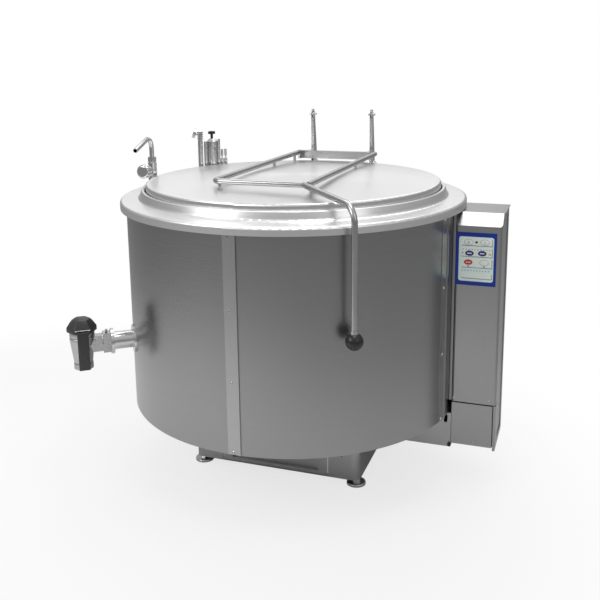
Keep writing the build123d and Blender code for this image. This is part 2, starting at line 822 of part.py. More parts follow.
with BuildPart() as spout_body:
    with Locations((spout_x, spout_y, deck_height)):
        Cylinder(spout_body_radius, spout_body_top - deck_height, align=CENTRED_ON_BASE)
    with BuildSketch(Plane.XY.offset(deck_height)):
        with Locations((spout_x, spout_y)):
            RegularPolygon(spout_hex_radius, 6)
    extrude(amount=spout_hex)
    with Locations((spout_x, spout_y, spout_body_top)):
        Cylinder(spout_neck_radius, (spout_nut_top - spout_body_top) / 2, align=CENTRED_ON_BASE)
    with BuildSketch(Plane.XZ.offset(-spout_y)):
        with Locations((spout_x, spout_knob_height)):
            Circle(spout_boss_radius)
    extrude(amount=boss_length)
    with Locations((spout_x, spout_y, spout_seat)):
        Cylinder(spout_radius + running_fit, deck_height, align=CENTRED_ON_BASE, mode=Mode.SUBTRACT)
    with BuildSketch(Plane.XZ.offset(spout_body_radius - spout_y)):
        with Locations((spout_x, spout_knob_height)):
            Circle(spout_stem_radius + running_fit)
    extrude(amount=boss_length, mode=Mode.SUBTRACT)
    cut_to_deck()
spout_body.part.label = "spout_body"
export_step(spout_body.part, "parts/spout_body.step")

with BuildPart() as spout_nut:
    with BuildSketch(Plane.XY.offset(spout_nut_bottom)):
        with Locations((spout_x, spout_y)):
            RegularPolygon(spout_nut_radius, 6)
    extrude(amount=spout_nut_top - spout_nut_bottom)
    with Locations((spout_x, spout_y, spout_nut_bottom)):
        Cylinder(
            spout_neck_radius,
            (spout_nut_top + spout_body_top) / 2 - spout_nut_bottom,
            align=CENTRED_ON_BASE,
            mode=Mode.SUBTRACT,
        )
        Cylinder(spout_radius + running_fit, deck_height, align=CENTRED_ON_BASE, mode=Mode.SUBTRACT)
spout_nut.part.label = "spout_nut"
export_step(spout_nut.part, "parts/spout_nut.step")

mouth_x, mouth_y, _ = around(spout_heading, spout_length)
with BuildPart() as spout_pipe:
    with BuildLine() as spout_path:
        FilletPolyline(
            (spout_x, spout_y, spout_seat),
            (spout_x, spout_y, spout_top - spout_radius),
            (spout_x + mouth_x, spout_y + mouth_y, spout_top - spout_radius - spout_drop),
            radius=spout_bend,
        )
    with BuildSketch(Plane.XY.offset(spout_seat)):
        with Locations((spout_x, spout_y)):
            Circle(spout_radius)
            Circle(spout_radius - spout_wall, mode=Mode.SUBTRACT)
    sweep(path=spout_path.line)
spout_pipe.part.label = "spout_pipe"
export_step(spout_pipe.part, "parts/spout_pipe.step")

with BuildPart() as spout_knob:
    with BuildSketch(Plane.XZ.offset(spout_knob_stand - spout_y)):
        with Locations((spout_x, spout_knob_height)):
            Circle(spout_knob_radius)
    extrude(amount=spout_knob_length)
    fillet(spout_knob.edges().group_by(Axis.Y)[0], radius=spout_knob_bend * 2)
    fillet(spout_knob.edges().group_by(Axis.Y)[-1], radius=spout_knob_bend)
    with BuildSketch(Plane.XZ.offset(spout_body_radius - spout_y)):
        with Locations((spout_x, spout_knob_height)):
            Circle(spout_stem_radius)
    extrude(amount=spout_knob_stand)
spout_knob.part.label = "spout_knob"
export_step(spout_knob.part, "parts/spout_knob.step")

# ==== Safety group ====
manifold_top = deck_height + deck_rise + manifold_height
cock_places = [around(azimuth, group_reach) for azimuth in cock_azimuths]
breaker_x, breaker_y, _ = around(breaker_azimuth, group_reach)
vent_x, vent_y, _ = around(vent_azimuth, group_reach)
valve_x, valve_y, _ = around(valve_azimuth, group_reach)
gauge_x, gauge_y, _ = around(gauge_azimuth, group_reach)
gauge_height = (fin_count - 1) * fin_pitch + gauge_pipe_top + fin_thick

with BuildPart() as safety_manifold:
    with BuildSketch(Plane.XY.offset(deck_height)):
        sector(manifold_from, manifold_to, group_reach - manifold_depth / 2, group_reach + manifold_depth / 2)
    extrude(amount=manifold_top - deck_height)
    fillet(safety_manifold.edges().filter_by(Axis.Z), radius=cock_radius)
    cut_to_deck()
safety_manifold.part.label = "safety_manifold"
export_step(safety_manifold.part, "parts/safety_manifold.step")


def upright(x, y, top, radius):
    """A vertical rod from the manifold's top face."""
    with Locations((x, y, manifold_top)):
        Cylinder(radius, top - manifold_top, align=CENTRED_ON_BASE)


with BuildPart() as relief_tubes:
    upright(breaker_x, breaker_y, breaker_top, breaker_radius)
    upright(breaker_x, breaker_y, manifold_top + tube_collar, breaker_radius + tube_wall)
    upright(vent_x, vent_y, vent_top, vent_radius)
    upright(vent_x, vent_y, manifold_top + tube_collar, vent_radius + tube_wall)
    with Locations((vent_x, vent_y, vent_top), (breaker_x, breaker_y, breaker_top)):
        Hole(breaker_radius - tube_wall, breaker_top - manifold_top - tube_collar)
relief_tubes.part.label = "relief_tubes"
export_step(relief_tubes.part, "parts/relief_tubes.step")

with BuildPart() as safety_valve:
    upright(valve_x, valve_y, valve_top, valve_radius)
    with Locations((valve_x, valve_y, valve_top)):
        Cone(valve_radius, valve_stem_radius * 2, valve_dome, align=CENTRED_ON_BASE)
    with Locations((valve_x, valve_y, valve_top + valve_dome)):
        Hole(valve_stem_radius + running_fit, valve_dome)
safety_valve.part.label = "safety_valve"
export_step(safety_valve.part, "parts/safety_valve.step")

with BuildPart() as valve_knob:
    with Locations((valve_x, valve_y, valve_top)):
        Cylinder(valve_stem_radius, wing_bottom - valve_top, align=CENTRED_ON_BASE)
    with Locations((valve_x, valve_y, wing_bottom)):
        Cylinder(valve_stem_radius * 2, wing_top - wing_bottom - wing_thick, align=CENTRED_ON_BASE)
        Box(wing_span * 2, wing_thick, wing_top - wing_bottom, align=CENTRED_ON_BASE)
    fillet(valve_knob.edges().filter_by(Axis.Y).group_by(Axis.Z)[-1], radius=wing_thick)
valve_knob.part.label = "valve_knob"
export_step(valve_knob.part, "parts/valve_knob.step")

with BuildPart() as cock_bodies:
    for x, y, _ in cock_places:
        upright(x, y, cock_top, cock_radius)
        with Locations((x, y, cock_top)):
            Hole(cock_stem_radius + running_fit, cock_top - manifold_top - tube_collar)
cock_bodies.part.label = "cock_bodies"
export_step(cock_bodies.part, "parts/cock_bodies.step")

for name, (x, y, _) in zip(("left", "right"), cock_places):
    with BuildPart() as cock_pin:
        with Locations((x, y, manifold_top + tube_collar)):
            Cylinder(cock_stem_radius, cock_pin_bottom - manifold_top - tube_collar, align=CENTRED_ON_BASE)
        with Locations((x, y, cock_pin_bottom)):
            Cylinder(cock_pin_radius, cock_pin_top - cock_pin_bottom, align=CENTRED_ON_BASE)
        fillet(cock_pin.edges().sort_by(Axis.Z)[-1], radius=tube_wall)
    cock_pin.part.label = "cock_pin_" + name
    export_step(cock_pin.part, "parts/cock_pin_" + name + ".step")

# The gauge stands off the finned pipe on a short neck and leans back.
gauge_axis = Vector(*around(gauge_heading, cos(radians(gauge_tilt)), sin(radians(gauge_tilt))))
gauge_plane = Plane(origin=(gauge_x, gauge_y, gauge_height - fin_pitch), z_dir=gauge_axis)

with BuildPart() as gauge_pipe:
    upright(gauge_x, gauge_y, gauge_pipe_top, gauge_pipe_radius)
    upright(gauge_x, gauge_y, gauge_height, gauge_pipe_radius - tube_wall)
    for turn in range(fin_count):
        with Locations((gauge_x, gauge_y, gauge_pipe_top + fin_thick + turn * fin_pitch)):
            Cylinder(fin_radius, fin_thick, align=CENTRED_ON_BASE)
    with BuildSketch(gauge_plane):
        Circle(gauge_neck)
    extrude(amount=gauge_stand)
gauge_pipe.part.label = "gauge_pipe"
export_step(gauge_pipe.part, "parts/gauge_pipe.step")

with BuildPart() as gauge_case:
    with BuildSketch(gauge_plane.offset(gauge_stand)):
        Circle(gauge_radius)
    extrude(amount=gauge_depth)
    with BuildSketch(gauge_plane.offset(gauge_stand + gauge_depth)):
        Circle(gauge_radius - lens_sheet)
    extrude(amount=-gauge_depth / 2, mode=Mode.SUBTRACT)
gauge_case.part.label = "gauge_case"
export_step(gauge_case.part, "parts/gauge_case.step")

with BuildPart() as gauge_dial:
    with BuildSketch(gauge_plane.offset(gauge_stand + gauge_depth / 2)):
        Circle(gauge_radius - lens_sheet)
    extrude(amount=lens_sheet)
    with BuildSketch(gauge_plane.offset(gauge_stand + gauge_depth / 2 + lens_sheet)):
        Circle(lens_sheet)
        with Locations((gauge_radius / 3, 0)):
            Rectangle(gauge_radius * 2 / 3, lens_sheet / 2)
    extrude(amount=lens_sheet / 2)
gauge_dial.part.label = "gauge_dial"
export_step(gauge_dial.part, "parts/gauge_dial.step")

with BuildPart() as gauge_lens:
    with BuildSketch(gauge_plane.offset(gauge_stand + gauge_depth - lens_sheet)):
        Circle(gauge_radius - lens_sheet)
    extrude(amount=lens_sheet)
gauge_lens.part.label = "gauge_lens"
export_step(gauge_lens.part, "parts/gauge_lens.step")

# ==== Lid ====
def lid_block(drop):
    """A solid with the lid's form, its skin this far below the outer face."""
    with BuildPart() as block:
        with BuildSketch(Plane.XZ) as form:
            with BuildLine():
                dome = ThreePointArc(
                    (0, lid_crown - drop),
                    (lid_radius / 2, dome_height(lid_radius / 2) - drop),
                    (lid_radius - drop, lid_skirt_top - drop),
                )
                Polyline(dome @ 1, (lid_radius - drop, lid_skirt_bottom), (0, lid_skirt_bottom), dome @ 0)
            make_face()
            fillet(form.vertices().group_by(Axis.X)[-1].sort_by(Axis.Y)[-1], radius=lid_bend - drop)
        revolve(axis=Axis.Z)
    return block.part


with BuildPart() as lid_shell:
    add(lid_block(0))
    add(lid_block(lid_sheet), mode=Mode.SUBTRACT)
lid_shell.part.label = "lid_shell"
export_step(lid_shell.part, "parts/lid_shell.step")

with BuildPart() as lid_seal:
    with BuildSketch(Plane.XY.offset(lid_skirt_bottom)):
        Circle(lid_radius - lid_sheet)
        Circle(lid_radius - lid_sheet - seal_width, mode=Mode.SUBTRACT)
    extrude(amount=lid_skirt_top - lid_bend - lid_skirt_bottom)
lid_seal.part.label = "lid_seal"
export_step(lid_seal.part, "parts/lid_seal.step")

crossbar_y = frame_rear - tube_wall - crossbar_depth
with BuildPart() as lid_frame:
    with BuildLine() as left_bar:
        FilletPolyline(
            (lever_joint, -frame_front, frame_height),
            (-frame_half, -frame_front, frame_height),
            (-frame_half, frame_rear, frame_height),
            radius=frame_bend,
        )
    with BuildSketch(left_bar.line ^ 0):
        Circle(tube_radius)
    sweep(path=left_bar.line)
    with BuildSketch(Plane.XZ.offset(-frame_rear)):
        with Locations((frame_half, frame_height)):
            Circle(tube_radius)
    extrude(amount=frame_rear + frame_front - tube_radius / 2)
    # crossbar under the bars, carrying the hinge arms
    with Locations((0, crossbar_y, crossbar_bottom)):
        Box(frame_half * 2, crossbar_depth, crossbar_height, align=FROM_FRONT_AND_BASE)
        Box(
            frame_half * 2 - tube_radius * 2 - crossbar_wall * 2,
            crossbar_depth - crossbar_wall,
            crossbar_height - crossbar_wall,
            align=FROM_FRONT_AND_BASE,
            mode=Mode.SUBTRACT,
        )
    # short posts down to the lid
    for side, y in post_places:
        with Locations((side * frame_half, y, dome_height(hypot(frame_half, y)))):
            Cylinder(
                post_radius,
                frame_height - dome_height(hypot(frame_half, y)),
                align=CENTRED_ON_BASE,
            )
    add(lid_block(0), mode=Mode.SUBTRACT)
lid_frame.part.label = "lid_frame"
export_step(lid_frame.part, "parts/lid_frame.step")

lever_x, lever_y, _ = around(lever_azimuth, lever_radius)
with BuildPart() as lever:
    with BuildLine() as lever_path:
        FilletPolyline(
            (lever_joint, -frame_front, frame_height),
            (lever_x, lever_y, frame_height - lever_fall),
            (lever_x, lever_y, lever_bottom),
            radius=lever_bend,
        )
    with BuildSketch(lever_path.line ^ 0):
        Circle(tube_radius)
    sweep(path=lever_path.line)
    add(lid_frame.part, mode=Mode.SUBTRACT)
    with Locations((lever_x, lever_y, lever_bottom)):
        Cylinder(knob_neck, knob_neck, align=CENTRED_ON_BASE)
lever.part.label = "lever"
export_step(lever.part, "parts/lever.step")

with BuildPart() as ball_knob:
    with Locations((lever_x, lever_y, lever_bottom - knob_radius + knob_sink)):
        Sphere(knob_radius)
    with Locations((lever_x, lever_y, lever_bottom)):
        Cylinder(knob_radius, knob_radius, align=CENTRED_ON_BASE, mode=Mode.SUBTRACT)
ball_knob.part.label = "ball_knob"
export_step(ball_knob.part, "parts/ball_knob.step")

# ==== Hinge and balance springs ====
# Two bell-crank arms turn on a fixed shaft. Each carries a trunnion that a pull rod hangs from, and a
# spring draws the rod down to an anchor low on the casing.
sides = {"left": -1, "right": 1}
arm_web_front = arm_front + arm_sheet

with BuildPart() as hinge_shaft:
    with BuildSketch(Plane.YZ.offset(-hinge_x - bracket_gap - arm_width / 2 - bracket_plate - shaft_overhang)):
        with Locations((hinge_y, hinge_z)):
            Circle(shaft_radius)
    extrude(amount=2 * (hinge_x + bracket_gap + arm_width / 2 + bracket_plate + shaft_overhang))
    chamfer(hinge_shaft.edges(), length=tube_wall)
hinge_shaft.part.label = "hinge_shaft"
export_step(hinge_shaft.part, "parts/hinge_shaft.step")

with BuildPart() as hinge_brackets:
    for side in sides.values():
        for face in (-1, 1):
            cheek = side * hinge_x + face * (arm_width / 2 + bracket_gap + bracket_plate / 2)
            with BuildSketch(Plane.YZ.offset(cheek)):
                with Locations((hinge_y, hinge_z)):
                    Circle(bracket_hub)
                with Locations((bracket_front, deck_height)):
                    Rectangle(bracket_length, bracket_foot + deck_rise, align=(Align.MIN, Align.MIN))
                make_hull()
            extrude(amount=bracket_plate / 2, both=True)
        with Locations((side * hinge_x, bracket_front, deck_height)):
            Box(
                bracket_foot_width,
                bracket_length,
                bracket_foot + deck_rise,
                align=FROM_FRONT_AND_BASE,
            )
    cut_to_deck()
    add(hinge_shaft.part, mode=Mode.SUBTRACT)
hinge_brackets.part.label = "hinge_brackets"
export_step(hinge_brackets.part, "parts/hinge_brackets.step")

for name, side in sides.items():
    with BuildPart() as hinge_arm:
        with BuildSketch(Plane.YZ.offset(side * hinge_x)) as side_view:
            Polygon(
                (crossbar_y + crossbar_depth, arm_leg_bottom),
                (crossbar_y + crossbar_depth, arm_leg_top),
                (arm_front, arm_leg_top),
                (arm_front, arm_top),
                (arm_front + arm_top_depth, arm_top),
                (arm_front + arm_foot_depth, arm_leg_top),
                (hinge_y + arm_hub, hinge_z),
                (hinge_y - arm_hub, hinge_z),
                (hinge_y - arm_hub, arm_leg_bottom),
                align=None,
            )
            fillet(side_view.vertices().group_by(Axis.Y)[-1].sort_by(Axis.X)[0], radius=arm_corner)
            with Locations((hinge_y, hinge_z)):
                Circle(arm_hub)
        extrude(amount=arm_width / 2, both=True)
        # the channel's hollow, open at the back, below the leg and at the forked top
        with BuildSketch(Plane.YZ.offset(side * hinge_x)):
            Polygon(
                (crossbar_y, arm_leg_bottom - arm_sheet),
                (crossbar_y, arm_leg_top - arm_sheet),
                (arm_web_front, arm_leg_top - arm_sheet),
                (arm_web_front, arm_fork),
                (arm_front - arm_sheet, arm_fork),
                (arm_front - arm_sheet, arm_top + arm_sheet),
                (arm_front + arm_foot_depth, arm_top + arm_sheet),
                (arm_front + arm_foot_depth, hinge_z - arm_hub),
                (hinge_y - arm_hub, hinge_z - arm_hub),
                (hinge_y - arm_hub, arm_leg_bottom - arm_sheet),
                align=None,
            )
        extrude(amount=arm_width / 2 - arm_sheet, both=True, mode=Mode.SUBTRACT)
        with BuildSketch(Plane.YZ.offset(side * hinge_x)):
            with Locations((hinge_y, hinge_z)):
                Circle(shaft_radius + hub_wall)
        extrude(amount=arm_width / 2, both=True)
        with BuildSketch(Plane.YZ.offset(side * hinge_x)):
            with Locations((hinge_y, hinge_z)):
                Circle(shaft_radius + running_fit)
            with Locations((trunnion_y, trunnion_z)):
                Circle(trunnion_radius + running_fit)
        extrude(amount=arm_width, both=True, mode=Mode.SUBTRACT)
    hinge_arm.part.label = "hinge_arm_" + name
    export_step(hinge_arm.part, "parts/hinge_arm_" + name + ".step")

# Distances along a pull rod are measured down from its trunnion to the anchor.
rod_span = hypot(anchor_y - trunnion_y, trunnion_z - anchor_z)
rod_up = Vector(0, trunnion_y - anchor_y, trunnion_z - anchor_z) / rod_span
hook_major = anchor_pin_radius + spring_wire
eye_centre = rod_length + hook_major
spring_start = eye_centre + hook_major + spring_hook
spring_end = rod_span - spring_hook

for name, side in sides.items():
    rod_plane = Plane(origin=(side * hinge_x, trunnion_y, trunnion_z), x_dir=(1, 0, 0), z_dir=rod_up)
    with BuildPart() as pull_rod:
        with BuildSketch(Plane.YZ.offset(side * hinge_x)):
            with Locations((trunnion_y, trunnion_z)):
                Circle(trunnion_radius)
        extrude(amount=trunnion_length / 2, both=True)
        chamfer(pull_rod.edges().filter_by(GeomType.CIRCLE), length=trunnion_chamfer)
        with BuildSketch(rod_plane.offset(-rod_length)):
            Circle(rod_radius)
        extrude(amount=rod_length + rod_tip)
        with BuildSketch(rod_plane.offset(trunnion_radius)):
            Circle(rod_sleeve)
        extrude(amount=rod_nut_lift - trunnion_radius)
        with BuildSketch(rod_plane.offset(rod_nut_lift)):
            RegularPolygon(rod_nut_radius, 6)
        extrude(amount=rod_nut)
        with Locations(rod_plane.offset(-eye_centre)):
            Torus(hook_major, rod_radius, rotation=(90, 0, 0))
    pull_rod.part.label = "pull_rod_" + name
    export_step(pull_rod.part, "parts/pull_rod_" + name + ".step")

    with BuildPart() as balance_spring:
        with BuildSketch(rod_plane.offset(-spring_start)):
            Circle(spring_radius)
        extrude(amount=spring_start - spring_end)
        with BuildSketch(rod_plane.offset(-spring_start - spring_wire)):
            Circle(spring_radius - spring_wire)
        extrude(amount=spring_start - spring_end + spring_wire * 2, mode=Mode.SUBTRACT)
        hook_top = eye_centre + hook_major * 2 - rod_radius - spring_wire / 2
        hook_low = rod_span - hook_major + anchor_pin_radius + spring_wire / 2
        for centre, edge in ((hook_top, spring_start), (hook_low, spring_end)):
            with Locations(rod_plane.offset(-centre)):
                Torus(hook_major, spring_wire / 2, rotation=(0, 90, 0))
            neck = centre + (hook_major if edge > centre else -hook_major)
            with BuildSketch(rod_plane.offset(-neck)):
                Circle(spring_wire / 2)
            extrude(amount=neck - edge)
    balance_spring.part.label = "balance_spring_" + name
    export_step(balance_spring.part, "parts/balance_spring_" + name + ".step")

anchor_azimuth = 90 - asin(hinge_x / casing_radius) * 180 / pi
anchor_arc = anchor_width / casing_radius * 180 / pi
with BuildPart() as spring_anchors:
    for azimuth in (anchor_azimuth, 180 - anchor_azimuth):
        with BuildSketch(Plane.XY.offset(anchor_z - anchor_rise / 2)):
            sector(azimuth - anchor_arc / 2, azimuth + anchor_arc / 2, casing_radius, casing_radius + anchor_plate)
        extrude(amount=anchor_rise)
    for side in sides.values():
        for face in (-1, 1):
            with BuildSketch(Plane.YZ.offset(side * hinge_x + face * (spring_radius + anchor_plate))):
                with Locations((anchor_y, anchor_z)):
                    Circle(anchor_pin_radius * 2)
                with Locations((casing_radius * sin(radians(anchor_azimuth)), anchor_z)):
                    Rectangle(anchor_plate, anchor_rise * 3 / 4)
                make_hull()
            extrude(amount=anchor_plate / 2, both=True)
        with BuildSketch(Plane.YZ.offset(side * hinge_x)):
            with Locations((anchor_y, anchor_z)):
                Circle(anchor_pin_radius)
        extrude(amount=spring_radius + anchor_plate * 2, both=True)
    Cylinder(casing_radius, deck_height, align=CENTRED_ON_BASE, mode=Mode.SUBTRACT)
spring_anchors.part.label = "spring_anchors"
export_step(spring_anchors.part, "parts/spring_anchors.step")

# ==== Control column ====
slope_plane = Plane(origin=(0, column_front, column_top - column_slope), x_dir=(1, 0, 0), z_dir=(0, -1, 1))


def cover_block(inset, width, corner, bottom, top):
    """A solid with a front cover's form: rounded upright corners, flush with the column's left side."""
    with BuildPart() as block:
        with BuildSketch(Plane.XY.offset(bottom)) as plan:
            with Locations((column_left + width / 2, column_front + inset)):
                Rectangle(width - inset * 2, cover_depth - inset, align=(Align.CENTER, Align.MIN))
            fillet(plan.vertices().group_by(Axis.Y)[0], radius=corner - inset)
        extrude(amount=top - bottom)
        split(bisect_by=slope_plane.offset(-inset), keep=Keep.BOTTOM)
    return block.part


cover_rear = column_front + cover_depth
upper_cover_bottom = cover_split + cover_split_gap
with BuildPart() as column_front_cover:
    add(cover_block(0, column_width, cover_corner, upper_cover_bottom, column_top))
    add(
        cover_block(cover_sheet, column_width, cover_corner, upper_cover_bottom, column_top - cover_sheet),
        mode=Mode.SUBTRACT,
    )
column_front_cover.part.label = "column_front_cover"
export_step(column_front_cover.part, "parts/column_front_cover.step")

lower_cover_width = column_width - lower_cover_inset
with BuildPart() as column_lower_cover:
    add(cover_block(0, lower_cover_width, lower_cover_corner, cover_bottom, cover_split))
    add(
        cover_block(cover_sheet, lower_cover_width, lower_cover_corner, cover_bottom, cover_split - cover_sheet),
        mode=Mode.SUBTRACT,
    )
column_lower_cover.part.label = "column_lower_cover"
export_step(column_lower_cover.part, "parts/column_lower_cover.step")

with BuildPart() as column_case:
    with Locations((column_x, cover_rear, column_bottom)):
        Box(column_width, column_rear - cover_rear, column_height, align=FROM_FRONT_AND_BASE)
    with Locations((column_x, cover_rear, column_bottom + column_sheet)):
        Box(
            column_width - side_inset * 2 - column_sheet * 2,
            column_rear - cover_rear - column_sheet,
            column_top - column_bottom - column_sheet * 2,
            align=FROM_FRONT_AND_BASE,
            mode=Mode.SUBTRACT,
        )
    # flat cap, standing a little over the sides
    with Locations((column_x, cover_rear, column_top)):
        Box(
            column_width + cap_overhang * 2,
            column_rear - cover_rear + cap_overhang,
            cap_sheet,
            align=(Align.CENTER, Align.MIN, Align.MAX),
        )
    # long shallow recesses in both sides
    for edge in (column_left, column_right):
        with Locations((edge, (cover_rear + column_rear) / 2, (column_bottom + column_top) / 2)):
            Box(
                side_inset * 2,
                column_rear - cover_rear - side_frame * 2,
                column_top - column_bottom - side_frame * 2,
                mode=Mode.SUBTRACT,
            )
    # tongue under the covers, and the stile beside the lower one
    with Locations((column_x, cover_rear, column_bottom)):
        Box(
            column_width - cover_sheet * 2,
            tongue_depth,
            cover_bottom - column_bottom,
            align=(Align.CENTER, Align.MAX, Align.MIN),
        )
    with Locations((column_right, cover_rear, column_bottom)):
        Box(
            lower_cover_inset - lower_cover_gap,
            cover_depth - lower_stile_setback,
            cover_split - column_bottom,
            align=(Align.MAX, Align.MAX, Align.MIN),
        )
    # way in from the bracket, and the cable gland's hole
    with BuildSketch(Plane.YZ.offset(column_left)):
        with Locations(((bracket_front_y + bracket_rear_y) / 2 + side_frame, (bracket_low + bracket_high) / 2)):
            Rectangle(
                bracket_rear_y - bracket_front_y - bracket_wall * 2 - side_frame * 2,
                bracket_high - bracket_low - bracket_wall * 2 - side_frame,
            )
    extrude(amount=side_inset * 2 + column_sheet, mode=Mode.SUBTRACT)
    with Locations((column_x, gland_y, column_bottom)):
        Cylinder(gland_thread, side_frame, mode=Mode.SUBTRACT)
column_case.part.label = "column_case"
export_step(column_case.part, "parts/column_case.step")

with BuildPart() as column_bracket:
    bracket_length_x = column_left - base_half_width
    bracket_middle = (column_left + base_half_width) / 2
    with BuildSketch(Plane.YZ.offset(base_half_width)):
        with Locations(((bracket_front_y + bracket_rear_y) / 2, (bracket_low + bracket_high) / 2)):
            Rectangle(bracket_rear_y - bracket_front_y, bracket_high - bracket_low)
            Rectangle(
                bracket_rear_y - bracket_front_y - bracket_wall * 2,
                bracket_high - bracket_low - bracket_wall * 2,
                mode=Mode.SUBTRACT,
            )
    extrude(amount=bracket_length_x)
    with BuildSketch(Plane.XZ.offset(-bracket_front_y)):
        with Locations((slot_x, slot_z)):
            SlotOverall(slot_height, slot_width, rotation=90)
    extrude(amount=-bracket_wall, mode=Mode.SUBTRACT)
column_bracket.part.label = "column_bracket"
export_step(column_bracket.part, "parts/column_bracket.step")

with BuildPart() as membrane_panel:
    with Locations((panel_left + panel_width / 2, column_front, panel_bottom + panel_height / 2)):
        Box(panel_width, panel_sheet, panel_height, align=BACK_ON_PLANE)
    fillet(membrane_panel.edges().filter_by(Axis.Y), radius=panel_sheet)
    with BuildSketch(Plane.XZ.offset(panel_sheet - column_front)):
        for x, z in key_places:
            with Locations((x, z)):
                Ellipse(key_width / 2, key_height / 2)
    extrude(amount=key_rise)
membrane_panel.part.label = "membrane_panel"
export_step(membrane_panel.part, "parts/membrane_panel.step")

with BuildPart() as circuit_board:
    with Locations((panel_left + panel_width / 2, board_y, panel_bottom + panel_height / 2)):
        Box(panel_width - side_frame, board_sheet, panel_height - side_frame)
        with GridLocations(panel_width - side_frame * 2, 0, 2, 1):
            Box(board_chip, board_chip, board_chip * 3, align=(Align.CENTER, Align.MIN, Align.CENTER))
    with BuildSketch(Plane.XZ.offset(-board_y)):
        with Locations((panel_left + panel_width / 2, panel_bottom + panel_height / 2)):
            with GridLocations(panel_width - side_frame * 1.5, panel_height - side_frame * 1.5, 2, 2):
                Circle(board_post)
    extrude(amount=board_y - column_front - cover_sheet)
circuit_board.part.label = "circuit_board"
export_step(circuit_board.part, "parts/circuit_board.step")

with BuildPart() as mounting_plate:
    with Locations((column_x, mount_plate_y, plate_bottom)):
        Box(plate_width, column_sheet, plate_height, align=(Align.CENTER, Align.CENTER, Align.MIN))
    with BuildSketch(Plane.XZ.offset(-mount_plate_y)):
        with Locations((column_x, plate_bottom + plate_height / 2)):
            with GridLocations(plate_width - side_frame, plate_height - side_frame, 2, 2):
                Circle(board_post)
    extrude(amount=mount_plate_y - column_rear + column_sheet)
mounting_plate.part.label = "mounting_plate"
export_step(mounting_plate.part, "parts/mounting_plate.step")

with BuildPart() as contactors:
    plate_face = mount_plate_y - column_sheet / 2
    for turn in range(contactor_count):
        with Locations((column_x, plate_face, plate_bottom + contactor_pitch * (turn + 0.5))):
            Box(contactor_width, contactor_depth, contactor_height, align=BACK_ON_PLANE)
        with Locations((column_x, plate_face - contactor_depth, plate_bottom + contactor_pitch * (turn + 0.5))):
            Box(contactor_width / 2, board_chip, contactor_height / 2, align=BACK_ON_PLANE)
contactors.part.label = "contactors"
export_step(contactors.part, "parts/contactors.step")

with BuildPart() as cable_gland:
    with Locations((column_x, gland_y, column_bottom - gland_length)):
        Cylinder(gland_radius - 2, gland_length, align=CENTRED_ON_BASE)
    with BuildSketch(Plane.XY.offset(column_bottom - gland_hex)):
        with Locations((column_x, gland_y)):
            RegularPolygon(gland_radius, 6)
    extrude(amount=gland_hex)
    with Locations((column_x, gland_y, column_bottom)):
        Cylinder(gland_thread, gland_hex, align=CENTRED_ON_BASE)
    with BuildSketch(Plane.XY.offset(column_bottom + column_sheet)):
        with Locations((column_x, gland_y)):
            RegularPolygon(gland_radius, 6)
    extrude(amount=gland_hex - column_sheet * 2)
    with Locations((column_x, gland_y, column_bottom)):
        Hole(gland_bore, gland_length * 2)
cable_gland.part.label = "cable_gland"
export_step(cable_gland.part, "parts/cable_gland.step")

# ==== Screws, all of one kind ====
screw_low = casing_bottom + strip_margin + strip_screw_inset
screw_high = deck_height - rim_drop - strip_margin - strip_screw_inset
strip_screw_turn = (strip_offset - strip_screw_offset) / casing_radius * 180 / pi
cover_screws = (
    (column_left + cover_screw_inset - 4, cover_split + cover_split_gap + cover_screw_inset),
    (column_right - cover_screw_inset * 2 + 4, cover_split + cover_split_gap + cover_screw_inset),
    (column_x, cover_bottom + cover_screw_inset),
)


def pan_head(seat):
    """A domed screw head sitting on this plane."""
    with BuildSketch(seat) as disc:
        Circle(screw_radius)
    extrude(disc.sketch, amount=screw_head, taper=screw_taper)


with BuildPart() as pan_head_screws:
    for azimuth in casing_joints[:3]:
        for turn in range(strip_screws):
            height = screw_low + (screw_high - screw_low) * turn / (strip_screws - 1)
            pan_head(radial_plane(azimuth - strip_screw_turn, casing_radius + strip_sheet, height))
    for x, z in cover_screws:
        pan_head(Plane(origin=(x, column_front, z), x_dir=(1, 0, 0), z_dir=(0, -1, 0)))
    for side in (-1, 1):
        pan_head(
            Plane(origin=(side * panel_screw_x, -base_half_depth, panel_screw_z), x_dir=(1, 0, 0), z_dir=(0, -1, 0))
        )
pan_head_screws.part.label = "pan_head_screws"
export_step(pan_head_screws.part, "parts/pan_head_screws.step")
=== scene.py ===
import bpy, bmesh, math
from mathutils import Euler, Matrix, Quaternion, Vector


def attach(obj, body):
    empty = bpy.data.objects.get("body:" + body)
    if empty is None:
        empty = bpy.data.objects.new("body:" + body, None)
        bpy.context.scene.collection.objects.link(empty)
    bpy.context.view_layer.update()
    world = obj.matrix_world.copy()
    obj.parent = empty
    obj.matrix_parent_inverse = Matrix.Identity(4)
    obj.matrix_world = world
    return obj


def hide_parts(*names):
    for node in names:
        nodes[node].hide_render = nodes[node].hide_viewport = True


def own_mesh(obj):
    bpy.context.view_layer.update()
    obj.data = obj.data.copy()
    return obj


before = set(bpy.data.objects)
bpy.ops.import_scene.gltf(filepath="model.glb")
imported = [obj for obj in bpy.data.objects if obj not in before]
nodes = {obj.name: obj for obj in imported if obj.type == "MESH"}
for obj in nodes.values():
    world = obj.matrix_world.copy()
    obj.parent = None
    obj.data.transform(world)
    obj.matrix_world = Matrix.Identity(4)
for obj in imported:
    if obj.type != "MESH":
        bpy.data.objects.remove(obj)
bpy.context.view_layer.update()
print("frame loaded:", len(nodes), "nodes")

# camera
cameraSetup = {
    "place": (0.915, -2.523, 1.346),
    "tiltDegrees": 78.375,
    "headingDegrees": 19.337,
    "rollDegrees": -0.636,
    "focalLength": 49.518,
    "sensorWidth": 36.0,
    "shift": (-0.0042, -0.1265),
    "clip": (0.05, 60.0),  # nearest and farthest that it sees, in metres
}


